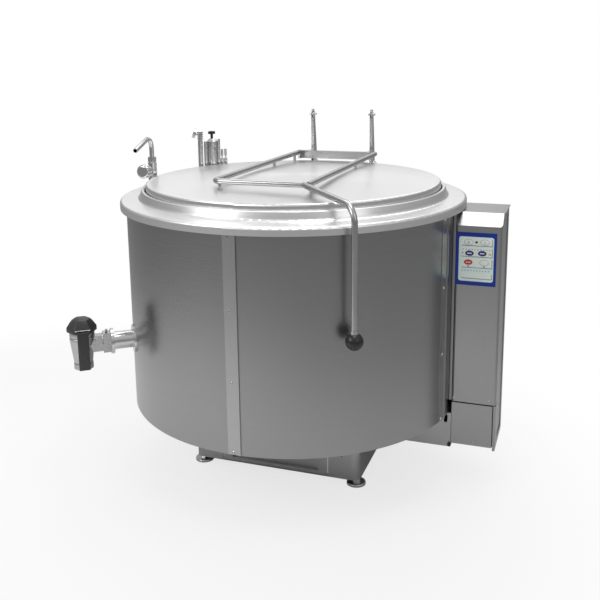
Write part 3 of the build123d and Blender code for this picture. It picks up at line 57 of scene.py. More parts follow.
def makeCamera(setup):
    cameraData = bpy.data.cameras.new("studioCamera")
    cameraData.sensor_width = setup["sensorWidth"]
    cameraData.lens = setup["focalLength"]
    cameraData.shift_x, cameraData.shift_y = setup["shift"]
    cameraData.clip_start, cameraData.clip_end = setup["clip"]
    camera = bpy.data.objects.new("studioCamera", cameraData)
    bpy.context.scene.collection.objects.link(camera)
    camera.location = setup["place"]
    camera.rotation_mode = "QUATERNION"
    tilt, heading = math.radians(setup["tiltDegrees"]), math.radians(setup["headingDegrees"])
    aim = Euler((tilt, 0, heading), "XYZ").to_quaternion()
    camera.rotation_quaternion = aim @ Quaternion((0, 0, 1), math.radians(setup["rollDegrees"]))
    bpy.context.scene.camera = camera


makeCamera(cameraSetup)

# studio: world, lamps and floor
bpy.context.scene.view_settings.view_transform = "Standard"

studio = {
    "worldStrength": 0.80,  # what the object is lit by
    "seenStrength": 1.0,  # what the camera sees behind it
    "lowSky": 0.42,  # brightness near the horizon, as a share of the top
    "skyRise": (-0.05, 0.85),  # upward share of a direction where the sky starts and stops brightening
    "lamps": (
        # place, aim, width, height, watts
        ((-1.9, -2.6, 2.6), (0, 0, 0.8), 1.6, 1.6, 30),
        ((2.6, -1.6, 2.2), (0.2, 0, 0.7), 1.2, 1.6, 6),
        ((-0.2, 1.0, 3.2), (0, 0, 0.9), 3.0, 1.8, 27),
        ((-1.1, 2.9, 1.9), (-0.1, 0, 0.8), 3.4, 1.6, 9),
        ((0.42, -0.55, 2.8), (0.61, -0.05, 0.85), 0.8, 0.8, 9),
    ),
    "floorSize": 24,
    "paintedPoolCentre": (-0.5, -0.5),  # middle of the pool of light painted on the floor, towards the left where the light falls
    "sweep": (0.5, 2.6),  # reach from the middle where the painted pool of light starts and stops fading
    "paintedPoolTone": 0.93,
    "roomTone": 0.46,  # floor beyond the painted pool of light, as the steel reflects it
    "fade": (0.9, 1.9),  # reach where the floor that the camera sees starts and stops whitening
    "fadeShare": 0.74,  # how much of the white is there at the middle
}


def link(tree, source, target):
    tree.links.new(source, target)


def smoothRange(tree, value, ends, low, high):
    # goes smoothly from low to high while the value goes between the two ends
    ramp = tree.nodes.new("ShaderNodeMapRange")
    ramp.interpolation_type = "SMOOTHSTEP"
    ramp.inputs["From Min"].default_value, ramp.inputs["From Max"].default_value = ends
    ramp.inputs["To Min"].default_value = low
    ramp.inputs["To Max"].default_value = high
    link(tree, value, ramp.inputs["Value"])
    return ramp.outputs["Result"]


def mixShaders(tree, factor, first, second, outputKind):
    mixed = tree.nodes.new("ShaderNodeMixShader")
    link(tree, factor, mixed.inputs[0])
    link(tree, first.outputs[0], mixed.inputs[1])
    link(tree, second.outputs[0], mixed.inputs[2])
    output = tree.nodes.new(outputKind)
    link(tree, mixed.outputs[0], output.inputs["Surface"])


def makeWorld(setup):
    world = bpy.data.worlds.new("studioWorld")
    bpy.context.scene.world = world
    world.use_nodes = True
    tree = world.node_tree
    tree.nodes.clear()
    coordinates = tree.nodes.new("ShaderNodeTexCoord")
    split = tree.nodes.new("ShaderNodeSeparateXYZ")
    link(tree, coordinates.outputs["Generated"], split.inputs[0])
    brightness = smoothRange(tree, split.outputs["Z"], setup["skyRise"], setup["lowSky"], 1.0)
    scaled = tree.nodes.new("ShaderNodeMath")
    scaled.operation = "MULTIPLY"
    scaled.inputs[1].default_value = setup["worldStrength"]
    link(tree, brightness, scaled.inputs[0])
    sky = tree.nodes.new("ShaderNodeBackground")
    link(tree, scaled.outputs[0], sky.inputs["Strength"])
    seen = tree.nodes.new("ShaderNodeBackground")
    seen.inputs["Color"].default_value = (1, 1, 1, 1)
    seen.inputs["Strength"].default_value = setup["seenStrength"]
    path = tree.nodes.new("ShaderNodeLightPath")
    mixShaders(tree, path.outputs["Is Camera Ray"], sky, seen, "ShaderNodeOutputWorld")


def makeLamps(setup):
    for index, (place, aim, width, height, watts) in enumerate(setup["lamps"]):
        lampData = bpy.data.lights.new("softbox%d" % index, "AREA")
        lampData.shape = "RECTANGLE"
        lampData.size, lampData.size_y = width, height
        lampData.energy = watts
        lamp = bpy.data.objects.new("softbox%d" % index, lampData)
        bpy.context.scene.collection.objects.link(lamp)
        lamp.location = place
        lamp.rotation_mode = "QUATERNION"
        lamp.rotation_quaternion = (Vector(aim) - Vector(place)).to_track_quat("-Z", "Y")


def makeFloor(setup):
    bpy.ops.object.select_all(action="DESELECT")
    bpy.ops.mesh.primitive_plane_add(size=setup["floorSize"], location=(0, 0, 0))
    floor = bpy.context.object
    floor.name = "studioFloor"
    material = bpy.data.materials.new("paleFloor")
    material.use_nodes = True
    tree = material.node_tree
    tree.nodes.clear()
    coordinates = tree.nodes.new("ShaderNodeTexCoord")
    shifted = tree.nodes.new("ShaderNodeVectorMath")
    shifted.operation = "SUBTRACT"
    shifted.inputs[1].default_value = (*setup["paintedPoolCentre"], 0)
    link(tree, coordinates.outputs["Object"], shifted.inputs[0])
    reach = tree.nodes.new("ShaderNodeVectorMath")
    reach.operation = "LENGTH"
    link(tree, shifted.outputs[0], reach.inputs[0])
    # painted pool of light: the floor is paler in the middle and darker further out
    tone = smoothRange(tree, reach.outputs["Value"], setup["sweep"], setup["paintedPoolTone"], setup["roomTone"])
    matte = tree.nodes.new("ShaderNodeBsdfDiffuse")
    link(tree, tone, matte.inputs["Color"])
    # the camera sees the floor turn to plain white away from the object
    glow = tree.nodes.new("ShaderNodeEmission")
    glow.inputs["Strength"].default_value = 1.0
    path = tree.nodes.new("ShaderNodeLightPath")
    fade = smoothRange(tree, reach.outputs["Value"], setup["fade"], setup["fadeShare"], 1.0)
    share = tree.nodes.new("ShaderNodeMath")
    share.operation = "MULTIPLY"
    link(tree, path.outputs["Is Camera Ray"], share.inputs[0])
    link(tree, fade, share.inputs[1])
    mixShaders(tree, share.outputs[0], matte, glow, "ShaderNodeOutputMaterial")
    floor.data.materials.append(material)


makeWorld(studio)
makeLamps(studio)
makeFloor(studio)
print("camera, lamps and floor ready")

# shared effects, as node groups
grainSetup = {
    "markDetail": 4.0,
    "cloudDetail": 2.0,
    "markShare": 0.45,
    "cloudShare": 0.55,
    "glossEnds": (0.3, 0.7),  # blend of marks and cloud where the gloss starts and stops changing
}
ringSetup = {
    "markDetail": 3.0,
    "cloudScale": 5.0,
    "cloudDetail": 3.0,
    "cloudShare": 0.45,
    "glossEnds": (0.35, 0.65),
}
bumpStrength = 0.35


def newGroup(name, inputs, outputs):
    group = bpy.data.node_groups.new(name, "ShaderNodeTree")
    for label, kind, value in inputs:
        socket = group.interface.new_socket(label, in_out="INPUT", socket_type=kind)
        socket.default_value = value
    for label, kind in outputs:
        group.interface.new_socket(label, in_out="OUTPUT", socket_type=kind)
    return group, group.nodes.new("NodeGroupInput"), group.nodes.new("NodeGroupOutput")


def makeGrainGroup(setup):
    # brush marks: noise drawn out along one direction, and a slow cloudiness over it
    group, given, result = newGroup(
        "brushGrain",
        (
            ("Stretch", "NodeSocketVector", (4, 4, 700)),
            ("Cloud Scale", "NodeSocketFloat", 3.0),
            ("Dark", "NodeSocketColor", (0.3, 0.3, 0.3, 1)),
            ("Light", "NodeSocketColor", (0.4, 0.4, 0.4, 1)),
            ("Smooth", "NodeSocketFloat", 0.25),
            ("Rough", "NodeSocketFloat", 0.40),
        ),
        (("Color", "NodeSocketColor"), ("Roughness", "NodeSocketFloat"), ("Height", "NodeSocketFloat")),
    )
    coordinates = group.nodes.new("ShaderNodeTexCoord")
    stretch = group.nodes.new("ShaderNodeVectorMath")
    stretch.operation = "MULTIPLY"
    link(group, coordinates.outputs["Object"], stretch.inputs[0])
    link(group, given.outputs["Stretch"], stretch.inputs[1])
    marks = group.nodes.new("ShaderNodeTexNoise")
    marks.inputs["Scale"].default_value = 1.0
    marks.inputs["Detail"].default_value = setup["markDetail"]
    link(group, stretch.outputs[0], marks.inputs["Vector"])
    cloud = group.nodes.new("ShaderNodeTexNoise")
    cloud.inputs["Detail"].default_value = setup["cloudDetail"]
    link(group, coordinates.outputs["Object"], cloud.inputs["Vector"])
    link(group, given.outputs["Cloud Scale"], cloud.inputs["Scale"])
    blendMarks = group.nodes.new("ShaderNodeMath")
    blendMarks.operation = "MULTIPLY_ADD"
    blendMarks.inputs[1].default_value = setup["markShare"]
    link(group, marks.outputs["Fac"], blendMarks.inputs[0])
    share = group.nodes.new("ShaderNodeMath")
    share.operation = "MULTIPLY"
    share.inputs[1].default_value = setup["cloudShare"]
    link(group, cloud.outputs["Fac"], share.inputs[0])
    link(group, share.outputs[0], blendMarks.inputs[2])
    tone = group.nodes.new("ShaderNodeMix")
    tone.data_type = "RGBA"
    link(group, blendMarks.outputs[0], tone.inputs["Factor"])
    link(group, given.outputs["Dark"], tone.inputs["A"])
    link(group, given.outputs["Light"], tone.inputs["B"])
    link(group, tone.outputs["Result"], result.inputs["Color"])
    gloss = group.nodes.new("ShaderNodeMapRange")
    link(group, blendMarks.outputs[0], gloss.inputs["Value"])
    gloss.inputs["From Min"].default_value, gloss.inputs["From Max"].default_value = setup["glossEnds"]
    link(group, given.outputs["Smooth"], gloss.inputs["To Min"])
    link(group, given.outputs["Rough"], gloss.inputs["To Max"])
    link(group, gloss.outputs["Result"], result.inputs["Roughness"])
    link(group, marks.outputs["Fac"], result.inputs["Height"])
    return group


def makeRingGrainGroup(setup):
    # brush marks that run round the vertical axis, for turned and spun pieces
    group, given, result = newGroup(
        "ringGrain",
        (
            ("Ring Scale", "NodeSocketFloat", 260.0),
            ("Dark", "NodeSocketColor", (0.6, 0.6, 0.6, 1)),
            ("Light", "NodeSocketColor", (0.8, 0.8, 0.8, 1)),
            ("Smooth", "NodeSocketFloat", 0.2),
            ("Rough", "NodeSocketFloat", 0.32),
        ),
        (("Color", "NodeSocketColor"), ("Roughness", "NodeSocketFloat"), ("Height", "NodeSocketFloat")),
    )
    coordinates = group.nodes.new("ShaderNodeTexCoord")
    flat = group.nodes.new("ShaderNodeVectorMath")
    flat.operation = "MULTIPLY"
    flat.inputs[1].default_value = (1, 1, 0)
    link(group, coordinates.outputs["Object"], flat.inputs[0])
    reach = group.nodes.new("ShaderNodeVectorMath")
    reach.operation = "LENGTH"
    link(group, flat.outputs[0], reach.inputs[0])
    scaled = group.nodes.new("ShaderNodeMath")
    scaled.operation = "MULTIPLY"
    link(group, reach.outputs["Value"], scaled.inputs[0])
    link(group, given.outputs["Ring Scale"], scaled.inputs[1])
    marks = group.nodes.new("ShaderNodeTexNoise")
    marks.noise_dimensions = "1D"
    marks.inputs["Scale"].default_value = 1.0
    marks.inputs["Detail"].default_value = setup["markDetail"]
    link(group, scaled.outputs[0], marks.inputs["W"])
    cloud = group.nodes.new("ShaderNodeTexNoise")
    cloud.inputs["Scale"].default_value = setup["cloudScale"]
    cloud.inputs["Detail"].default_value = setup["cloudDetail"]
    link(group, coordinates.outputs["Object"], cloud.inputs["Vector"])
    blendMarks = group.nodes.new("ShaderNodeMix")
    blendMarks.inputs["Factor"].default_value = setup["cloudShare"]
    link(group, marks.outputs["Fac"], blendMarks.inputs["A"])
    link(group, cloud.outputs["Fac"], blendMarks.inputs["B"])
    tone = group.nodes.new("ShaderNodeMix")
    tone.data_type = "RGBA"
    link(group, blendMarks.outputs["Result"], tone.inputs["Factor"])
    link(group, given.outputs["Dark"], tone.inputs["A"])
    link(group, given.outputs["Light"], tone.inputs["B"])
    link(group, tone.outputs["Result"], result.inputs["Color"])
    gloss = group.nodes.new("ShaderNodeMapRange")
    gloss.inputs["From Min"].default_value, gloss.inputs["From Max"].default_value = setup["glossEnds"]
    link(group, blendMarks.outputs["Result"], gloss.inputs["Value"])
    link(group, given.outputs["Smooth"], gloss.inputs["To Min"])
    link(group, given.outputs["Rough"], gloss.inputs["To Max"])
    link(group, gloss.outputs["Result"], result.inputs["Roughness"])
    link(group, marks.outputs["Fac"], result.inputs["Height"])
    return group


grainGroup = makeGrainGroup(grainSetup)
ringGroup = makeRingGrainGroup(ringSetup)


def makeMaterial(name, effectAndValues, shaderValues, bumpDepth=0.0, anisotropic=None):
    group, groupValues = effectAndValues
    material = bpy.data.materials.new(name)
    material.use_nodes = True
    tree = material.node_tree
    shader = tree.nodes["Principled BSDF"]
    effect = tree.nodes.new("ShaderNodeGroup")
    effect.node_tree = group
    for label, value in groupValues.items():
        effect.inputs[label].default_value = value
    link(tree, effect.outputs["Color"], shader.inputs["Base Color"])
    link(tree, effect.outputs["Roughness"], shader.inputs["Roughness"])
    for label, value in shaderValues.items():
        shader.inputs[label].default_value = value
    if bumpDepth:
        bump = tree.nodes.new("ShaderNodeBump")
        bump.inputs["Strength"].default_value = bumpStrength
        bump.inputs["Distance"].default_value = bumpDepth
        link(tree, effect.outputs["Height"], bump.inputs["Height"])
        link(tree, bump.outputs["Normal"], shader.inputs["Normal"])
    if anisotropic is not None:
        shader.inputs["Anisotropic"].default_value = anisotropic
        tangent = tree.nodes.new("ShaderNodeTangent")
        tangent.direction_type = "RADIAL"
        tangent.axis = "Z"
        link(tree, tangent.outputs[0], shader.inputs["Tangent"])
    return material


def grey(value):
    return (value, value, value, 1)


def brushed(stretch, cloudScale, dark, light, smooth, rough):
    # an even stretch gives a plain grain, an uneven one gives long marks
    return grainGroup, {
        "Stretch": stretch,
        "Cloud Scale": cloudScale,
        "Dark": dark,
        "Light": light,
        "Smooth": smooth,
        "Rough": rough,
    }


def turned(ringScale, dark, light, smooth, rough):
    return ringGroup, {
        "Ring Scale": ringScale,
        "Dark": dark,
        "Light": light,
        "Smooth": smooth,
        "Rough": rough,
    }


metal = {"Metallic": 1.0}
plastic = {"Metallic": 0.0, "Specular IOR Level": 0.5}
glass = {"Transmission Weight": 1.0, "IOR": 1.45}

# each look: effect with its values, shader values, bump depth in metres, anisotropy round the axis
looks = {
    # the steel greys are set to the tones the parts show in the studio light: the upright casing, strip,
    # column and base steels are darker than the metal, as painted shade, and the deck and lid steels paler,
    # as painted light
    "casingSteel": (brushed((3, 3, 900), 1.6, grey(0.31), grey(0.385), 0.26, 0.34), metal, 0.00004),
    "stripSteel": (brushed((400, 400, 4), 5, grey(0.42), grey(0.50), 0.26, 0.36), metal, 0.00004),
    "columnSteel": (brushed((500, 500, 5), 3, grey(0.34), grey(0.42), 0.26, 0.36), metal, 0.00004),
    "baseSteel": (brushed((4, 4, 600), 3, grey(0.40), grey(0.48), 0.28, 0.4), metal, 0.00004),
    "deckSteel": (turned(420, grey(0.84), grey(0.93), 0.28, 0.38), metal, 0.000006),
    "lidSteel": (turned(260, grey(0.79), grey(0.86), 0.29, 0.34), metal, 0.000002, 0.5),
    "vatSteel": (turned(300, grey(0.6), grey(0.72), 0.25, 0.4), metal, 0.00003),
    "tubeSteel": (brushed((300, 30, 300), 8, grey(0.44), grey(0.55), 0.18, 0.28), metal),
    "plainSteel": (brushed((60, 60, 60), 9, grey(0.58), grey(0.72), 0.22, 0.36), metal),
    "pipeSteel": (brushed((60, 60, 60), 9, grey(0.60), grey(0.74), 0.12, 0.20), metal),
    "castSteel": (brushed((350, 350, 350), 14, grey(0.42), grey(0.60), 0.22, 0.34), metal, 0.0003),
    "chrome": (brushed((20, 20, 20), 6, grey(0.66), grey(0.74), 0.06, 0.12), metal),
    "brass": (brushed((90, 90, 90), 9, (0.48, 0.38, 0.18, 1), (0.6, 0.48, 0.25, 1), 0.25, 0.38), metal),
    "blackPlastic": (brushed((260, 260, 260), 12, grey(0.012), grey(0.022), 0.22, 0.34), plastic, 0.00008),
    # the cap is the same black plastic made lighter, as a painted sheen for the light it reflects
    "capPlastic": (brushed((260, 260, 260), 12, grey(0.030), grey(0.048), 0.30, 0.42), plastic, 0.00012),
    "springSteel": (brushed((80, 80, 80), 8, grey(0.22), grey(0.32), 0.28, 0.4), metal),
    "paleRubber": (brushed((90, 90, 90), 9, grey(0.52), grey(0.62), 0.55, 0.7), plastic),
    "darkRubber": (brushed((90, 90, 90), 9, grey(0.015), grey(0.03), 0.55, 0.7), plastic),
    "mineralWool": (
        brushed((220, 220, 220), 30, (0.5, 0.44, 0.28, 1), (0.66, 0.6, 0.42, 1), 0.85, 0.95),
        plastic,
        0.002,
    ),
    "filmBlue": (
        brushed((900, 900, 900), 20, (0.0005, 0.020, 0.26, 1), (0.001, 0.030, 0.34, 1), 0.32, 0.42),
        plastic,
        0.00002,
    ),
    "boardGreen": (
        brushed((300, 300, 300), 20, (0.01, 0.10, 0.04, 1), (0.02, 0.16, 0.06, 1), 0.3, 0.4),
        plastic,
    ),
    "moulding": (brushed((200, 200, 200), 12, grey(0.10), grey(0.15), 0.45, 0.6), plastic),
    "dialWhite": (brushed((200, 200, 200), 12, grey(0.74), grey(0.8), 0.35, 0.45), plastic),
    "clearLens": (brushed((60, 60, 60), 30, grey(0.93), grey(0.99), 0.01, 0.06), glass),
}
materials = {name: makeMaterial(name, *look) for name, look in looks.items()}

finishes = {
    "casingSteel": ("outer_casing", "bottom_pan"),
    "stripSteel": ("joint_strips",),
    "columnSteel": ("column_case", "column_front_cover", "column_lower_cover", "mounting_plate"),
    "baseSteel": ("base_frame", "base_front_panel", "column_bracket", "spring_anchors"),
    "deckSteel": ("deck",),
    "lidSteel": ("lid_shell",),
    "vatSteel": ("vat", "drain_strainer", "steam_jacket"),
    "tubeSteel": ("lid_frame", "lever"),
    "plainSteel": (
        "hinge_arm_left", "hinge_arm_right", "hinge_brackets", "hinge_shaft",
        "pull_rod_left", "pull_rod_right", "safety_manifold", "heater",
        "levelling_foot_front_left", "levelling_foot_front_right",
        "levelling_foot_rear_left", "levelling_foot_rear_right",
    ),
    "pipeSteel": ("drain_pipe", "wall_ring"),
    "castSteel": ("tap_body", "union_nut"),
    "chrome": (
        "spout_body", "spout_nut", "spout_pipe", "spout_knob",
        "cock_bodies", "cock_pin_left", "cock_pin_right",
        "gauge_case", "gauge_pipe", "relief_tubes", "safety_valve", "pan_head_screws",
    ),
    "brass": ("tap_plug", "cable_gland"),
    "blackPlastic": ("tap_handle", "ball_knob", "valve_knob"),
    "springSteel": ("balance_spring_left", "balance_spring_right"),
    "paleRubber": ("lid_seal",),
    "mineralWool": ("insulation",),
    "filmBlue": ("membrane_panel",),
    "boardGreen": ("circuit_board",),
    "moulding": ("contactors",),
    "dialWhite": ("gauge_dial",),
    "clearLens": ("gauge_lens",),
}

for finish, names in finishes.items():
    for name in names:
        mesh = nodes[name].data
        mesh.materials.clear()
        mesh.materials.append(materials[finish])
print("materials made and put on the frame's nodes")

# inks of the keypad, the grey one also giving the painted shadow under its rows, and the painted shade of
# the recesses, also used for a dark seam
inksAndShades = {
    "printMint": ((0.74, 0.94, 0.92, 1), (0.80, 0.97, 0.95, 1)),
    "printPale": ((0.86, 0.94, 0.87, 1), (0.92, 0.98, 0.92, 1)),
    "printWhite": ((0.90, 0.91, 0.91, 1), (0.96, 0.97, 0.97, 1)),
    "printBlue": ((0.004, 0.022, 0.16, 1), (0.008, 0.035, 0.22, 1)),
    "printRed": ((0.52, 0.015, 0.02, 1), (0.64, 0.03, 0.035, 1)),
    "greyInkAndPaintedShadow": ((0.035, 0.05, 0.05, 1), (0.06, 0.08, 0.08, 1)),
    "printYellow": ((0.62, 0.52, 0.16, 1), (0.72, 0.62, 0.22, 1)),
    "printGreen": ((0.10, 0.36, 0.18, 1), (0.14, 0.44, 0.24, 1)),
    "seamDarkAndRecessShade": ((0.010, 0.010, 0.011, 1), (0.02, 0.02, 0.022, 1)),
}
for paintName, (dark, light) in inksAndShades.items():
    paintLook = brushed((700, 700, 700), 40, dark, light, 0.32, 0.42)
    materials[paintName] = makeMaterial(paintName, paintLook, plastic, 0.00001)

# helpers for the added pieces, whose sizes and places are in millimetres
near = 0.00001  # metres within which two places count as the same
facingFront = (math.pi / 2, 0, 0)  # turns a piece's own height to point to the front


def metres(*values):
    return tuple(value / 1000 for value in values)


def onlySelect(*chosen):
    bpy.ops.object.select_all(action="DESELECT")
    for one in chosen:
        one.select_set(True)
    bpy.context.view_layer.objects.active = chosen[0]


def applyPlace(piece):
    onlySelect(piece)
    bpy.ops.object.transform_apply(location=True, rotation=True, scale=True)


# tests for the two ends of an edge
def upright(a, b):
    return abs(a.x - b.x) < near and abs(a.y - b.y) < near


def frontToBack(a, b):
    return abs(a.x - b.x) < near and abs(a.z - b.z) < near


def sameHeight(a, b):
    return abs(a.z - b.z) < near


def sameDepth(a, b):
    return abs(a.y - b.y) < near


def atHeight(height):
    return lambda a, b: max(abs(a.z - height / 1000), abs(b.z - height / 1000)) < near


def bevelEdges(piece, test, offset, segments):
    onlySelect(piece)
    bpy.ops.object.mode_set(mode="EDIT")
    bpy.ops.mesh.select_mode(type="EDGE")
    bpy.ops.mesh.select_all(action="DESELECT")
    mesh = bmesh.from_edit_mesh(piece.data)
    for edge in mesh.edges:
        edge.select_set(test(edge.verts[0].co, edge.verts[1].co))
    bmesh.update_edit_mesh(piece.data)
    bpy.ops.mesh.bevel(offset=offset / 1000, segments=segments, affect="EDGES", clamp_overlap=True)
    bpy.ops.object.mode_set(mode="OBJECT")


def joined(parts):
    onlySelect(*parts)
    if len(parts) > 1:
        bpy.ops.object.join()
    return bpy.context.view_layer.objects.active


def finishPiece(piece, name, body, material, smoothDegrees=35):
    applyPlace(piece)
    bpy.ops.object.mode_set(mode="EDIT")
    bpy.ops.mesh.select_all(action="SELECT")
    bpy.ops.mesh.normals_make_consistent(inside=False)
    bpy.ops.object.mode_set(mode="OBJECT")
    bpy.ops.object.shade_smooth_by_angle(angle=math.radians(smoothDegrees))
    piece.name = name
    piece.data.materials.clear()
    piece.data.materials.append(materials[material])
    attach(piece, body)
    return piece


def cylinder(radius, length, place, vertices=24, rotation=(0, 0, 0)):
    bpy.ops.mesh.primitive_cylinder_add(
        vertices=vertices,
        radius=radius / 1000,
        depth=length / 1000,
        location=metres(*place),
        rotation=rotation,
    )
    rod = bpy.context.object
    applyPlace(rod)
    return rod


def block(size, place, rotation=(0, 0, 0)):
    bpy.ops.mesh.primitive_cube_add(size=1, location=metres(*place), rotation=rotation, scale=metres(*size))
    box = bpy.context.object
    applyPlace(box)
    return box


def hoop(radius, wireRadius, place, steps, wireSteps, rotation=(0, 0, 0)):
    bpy.ops.mesh.primitive_torus_add(
        major_radius=radius / 1000,
        minor_radius=wireRadius / 1000,
        major_segments=steps,
        minor_segments=wireSteps,
        location=metres(*place),
        rotation=rotation,
    )
    ring = bpy.context.object
    applyPlace(ring)
    return ring


def frontPlate(xLow, xHigh, zLow, zHigh, corner, rear, thick):
    # a rounded plate that faces the front, its rear face at y = rear
    middle = ((xLow + xHigh) / 2, rear - thick / 2, (zLow + zHigh) / 2)
    plate = block((xHigh - xLow, thick, zHigh - zLow), middle)
    if corner:
        bevelEdges(plate, frontToBack, corner, 5)
    return plate


def frontBar(x, z, width, height, corner, rear, thick):
    # the same plate, placed by its middle
    return frontPlate(x - width / 2, x + width / 2, z - height / 2, z + height / 2, corner, rear, thick)


def frontOval(x, z, width, height, rear, thick, rim=0.0, vertices=36):
    bpy.ops.mesh.primitive_cylinder_add(
        vertices=vertices,
        radius=1,
        depth=1,
        location=metres(x, rear - thick / 2, z),
        rotation=facingFront,
        scale=metres(width / 2, height / 2, thick),
    )
    oval = bpy.context.object
    applyPlace(oval)
    if rim:
        front = (rear - thick) / 1000 + near
        bevelEdges(oval, lambda a, b: max(a.y, b.y) < front, rim, 2)
    return oval


# keypad print, with painted shadow under and beside its raised rows
keypad = {
    "face": -73.2,  # y of the film's front
    "field": (556, 660, 666, 804),  # x low, x high, z low, z high
    "fieldCorner": 7,
    "fieldThick": 0.12,
    "rows": ((777.5, 800.5), (743.5, 772.0), (709.5, 738.0), (675.5, 692.0)),
    "rowEnds": (563, 655),
    "rowCorner": 2,
    "rowThick": 0.10,
    "shadeInset": 2.0,  # how far in from the row's corner a shade starts
    "shadeDrop": 1.6,
    "shadeReach": (1.2, 1.4),  # how far the lower and the side shade pass the row's end
    "shadeThick": 0.06,
    "whiteKeys": ((585, 787), (633, 788)),
    "blueKeys": ((588, 753), (626, 754)),
    "redKey": (585, 725),
    "paleKey": (632, 725),
    "keySize": (25.4, 16.4),
    "keyRise": 0.72,
    "keyRound": 0.2,
    "rimGrow": 1.8,
    "rimSink": 0.14,
    "rimRound": 0.1,
    "blueBar": (14.0, 3.2, 1.2),  # width, height, corner of the mark on a blue key
    "blueBarRise": 0.14,  # above the key
    "redDot": (3.0, 4.4, 0.8),
    "redDotRise": 0.12,
    "redDotSteps": (-5, 0, 5),
    "zeroSize": (2.2, 3.8, 0.5),  # half width, half height and depth that a ring of radius 1 is scaled to
    "zeroStroke": 0.22,  # that ring's wire radius
    "oneSize": (1.2, 8.8, 0.3),  # width, height, corner
    "oneRise": 0.1,
    "window": (608.0, 787.8),
    "windowSize": 7.5,
    "windowRise": 0.5,
    "footMarks": ((585, 712.8), (632, 713.0)),  # short marks under the red and the pale key
    "footMarkSize": (6.8, 2.4, 0.3),
    "markThick": 0.16,
    "dotRows": ((764.8, 569, 648), (699.5, 568, 647)),  # z, first x, last x
    "dotCount": 10,
    "dotSize": (3.0, 2.8),
    "dotRise": 0.30,
    "dotSides": 10,
    "amberMark": (644.5, 653, 749.5, 754.5),
    "greenMark": (565.5, 569.5, 751.5, 756),
    "sideMarkCorner": 1,
}


def keyOvals(setup, places, rim, grow=0.0, sink=0.0):
    width, height = setup["keySize"]
    rise = setup["keyRise"] - sink
    return [frontOval(x, z, width + grow, height + grow, setup["face"], rise, rim) for x, z in places]


def makeKeypadRows(setup):
    field = frontPlate(*setup["field"], setup["fieldCorner"], setup["face"], setup["fieldThick"])
    finishPiece(field, "keypadField", "kettle", "printMint")
    left, right = setup["rowEnds"]
    rear = setup["face"] - setup["fieldThick"]
    inset, drop, thick = setup["shadeInset"], setup["shadeDrop"], setup["shadeThick"]
    lowReach, sideReach = setup["shadeReach"]
    # lowShades and sideShades are painted shadow: thin dark strips under and beside each raised row
    bands, lowShades, sideShades = [], [], []
    for low, high in setup["rows"]:
        bands.append(frontPlate(left, right, low, high, setup["rowCorner"], rear, setup["rowThick"]))
        lowShades.append(frontPlate(left + inset, right + lowReach, low - drop, low, 0, rear, thick))
        sideShades.append(frontPlate(right, right + sideReach, low - drop, high - inset, 0, rear, thick))
    finishPiece(joined(bands), "keypadRows", "kettle", "printPale")
    finishPiece(joined(lowShades + sideShades), "keypadRowShades", "kettle", "greyInkAndPaintedShadow")


def makeKeypadKeys(setup):
    face, rise = setup["face"], setup["keyRise"]
    lightKeys = (*setup["whiteKeys"], setup["paleKey"])
    rims = keyOvals(setup, lightKeys, setup["rimRound"], setup["rimGrow"], setup["rimSink"])
    finishPiece(joined(rims), "keypadKeyRims", "kettle", "printGreen")
    whites = keyOvals(setup, lightKeys, setup["keyRound"])
    for x, z in setup["blueKeys"]:
        whites.append(frontBar(x, z, *setup["blueBar"], face, rise + setup["blueBarRise"]))
    x, z = setup["redKey"]
    for step in setup["redDotSteps"]:
        whites.append(frontBar(x + step, z, *setup["redDot"], face, rise + setup["redDotRise"]))
    finishPiece(joined(whites), "keypadWhites", "kettle", "printWhite")
    blues = keyOvals(setup, setup["blueKeys"], setup["keyRound"])
    finishPiece(joined(blues), "keypadBlueKeys", "kettle", "printBlue")
    reds = keyOvals(setup, (setup["redKey"],), setup["keyRound"])
    finishPiece(joined(reds), "keypadRedKey", "kettle", "printRed")


def makeKeypadMarks(setup):
    # figure 0, figure I, indicator window, short marks and rows of lamps
    face, rise = setup["face"], setup["keyRise"]
    rear = face - setup["fieldThick"]
    (zeroX, zeroZ), (oneX, oneZ) = setup["whiteKeys"]
    bpy.ops.mesh.primitive_torus_add(
        major_radius=1,
        minor_radius=setup["zeroStroke"],
        major_segments=28,
        minor_segments=6,
        location=metres(zeroX, face - rise, zeroZ),
        rotation=facingFront,
    )
    zero = bpy.context.object
    zero.scale = metres(*setup["zeroSize"])
    applyPlace(zero)
    marks = [zero, frontBar(oneX, oneZ, *setup["oneSize"], face, rise + setup["oneRise"])]
    window = setup["windowSize"]
    marks.append(frontOval(*setup["window"], window, window, face, setup["windowRise"], setup["keyRound"]))
    for x, z in setup["footMarks"]:
        marks.append(frontBar(x, z, *setup["footMarkSize"], rear, setup["markThick"]))
    for z, first, last in setup["dotRows"]:
        for turn in range(setup["dotCount"]):
            x = first + (last - first) * turn / (setup["dotCount"] - 1)
            marks.append(frontOval(x, z, *setup["dotSize"], face, setup["dotRise"], 0.0, setup["dotSides"]))
    finishPiece(joined(marks), "keypadMarks", "kettle", "greyInkAndPaintedShadow")
    corner, thick = setup["sideMarkCorner"], setup["markThick"]
    amber = frontPlate(*setup["amberMark"], corner, rear, thick)
    finishPiece(amber, "keypadAmberMark", "kettle", "printYellow")
    leaf = frontPlate(*setup["greenMark"], corner, rear, thick)
    finishPiece(leaf, "keypadGreenMark", "kettle", "printGreen")


makeKeypadRows(keypad)
makeKeypadKeys(keypad)
makeKeypadMarks(keypad)
print("keypad printed")

# dark crosses on the screw heads, painted shade for their cross recesses
screwHeads = {
    "recess": (0.4, 5.0, 0.9),  # depth, length, width of one arm
    "tilts": (20, 110),
    "fronts": (
        (227, -218.6, 97),
        (-227, -218.6, 97),
        (614, -74.6, 141),
        (663, -74.6, 284),
        (553, -74.6, 284),
    ),
    "frontAzimuth": -90.0,
    "stripAzimuths": (-89.63, -14.8, 164.6),
    "stripReach": 545.1,
    "stripHeights": (238.0, 447.7, 657.3, 867.0),
}


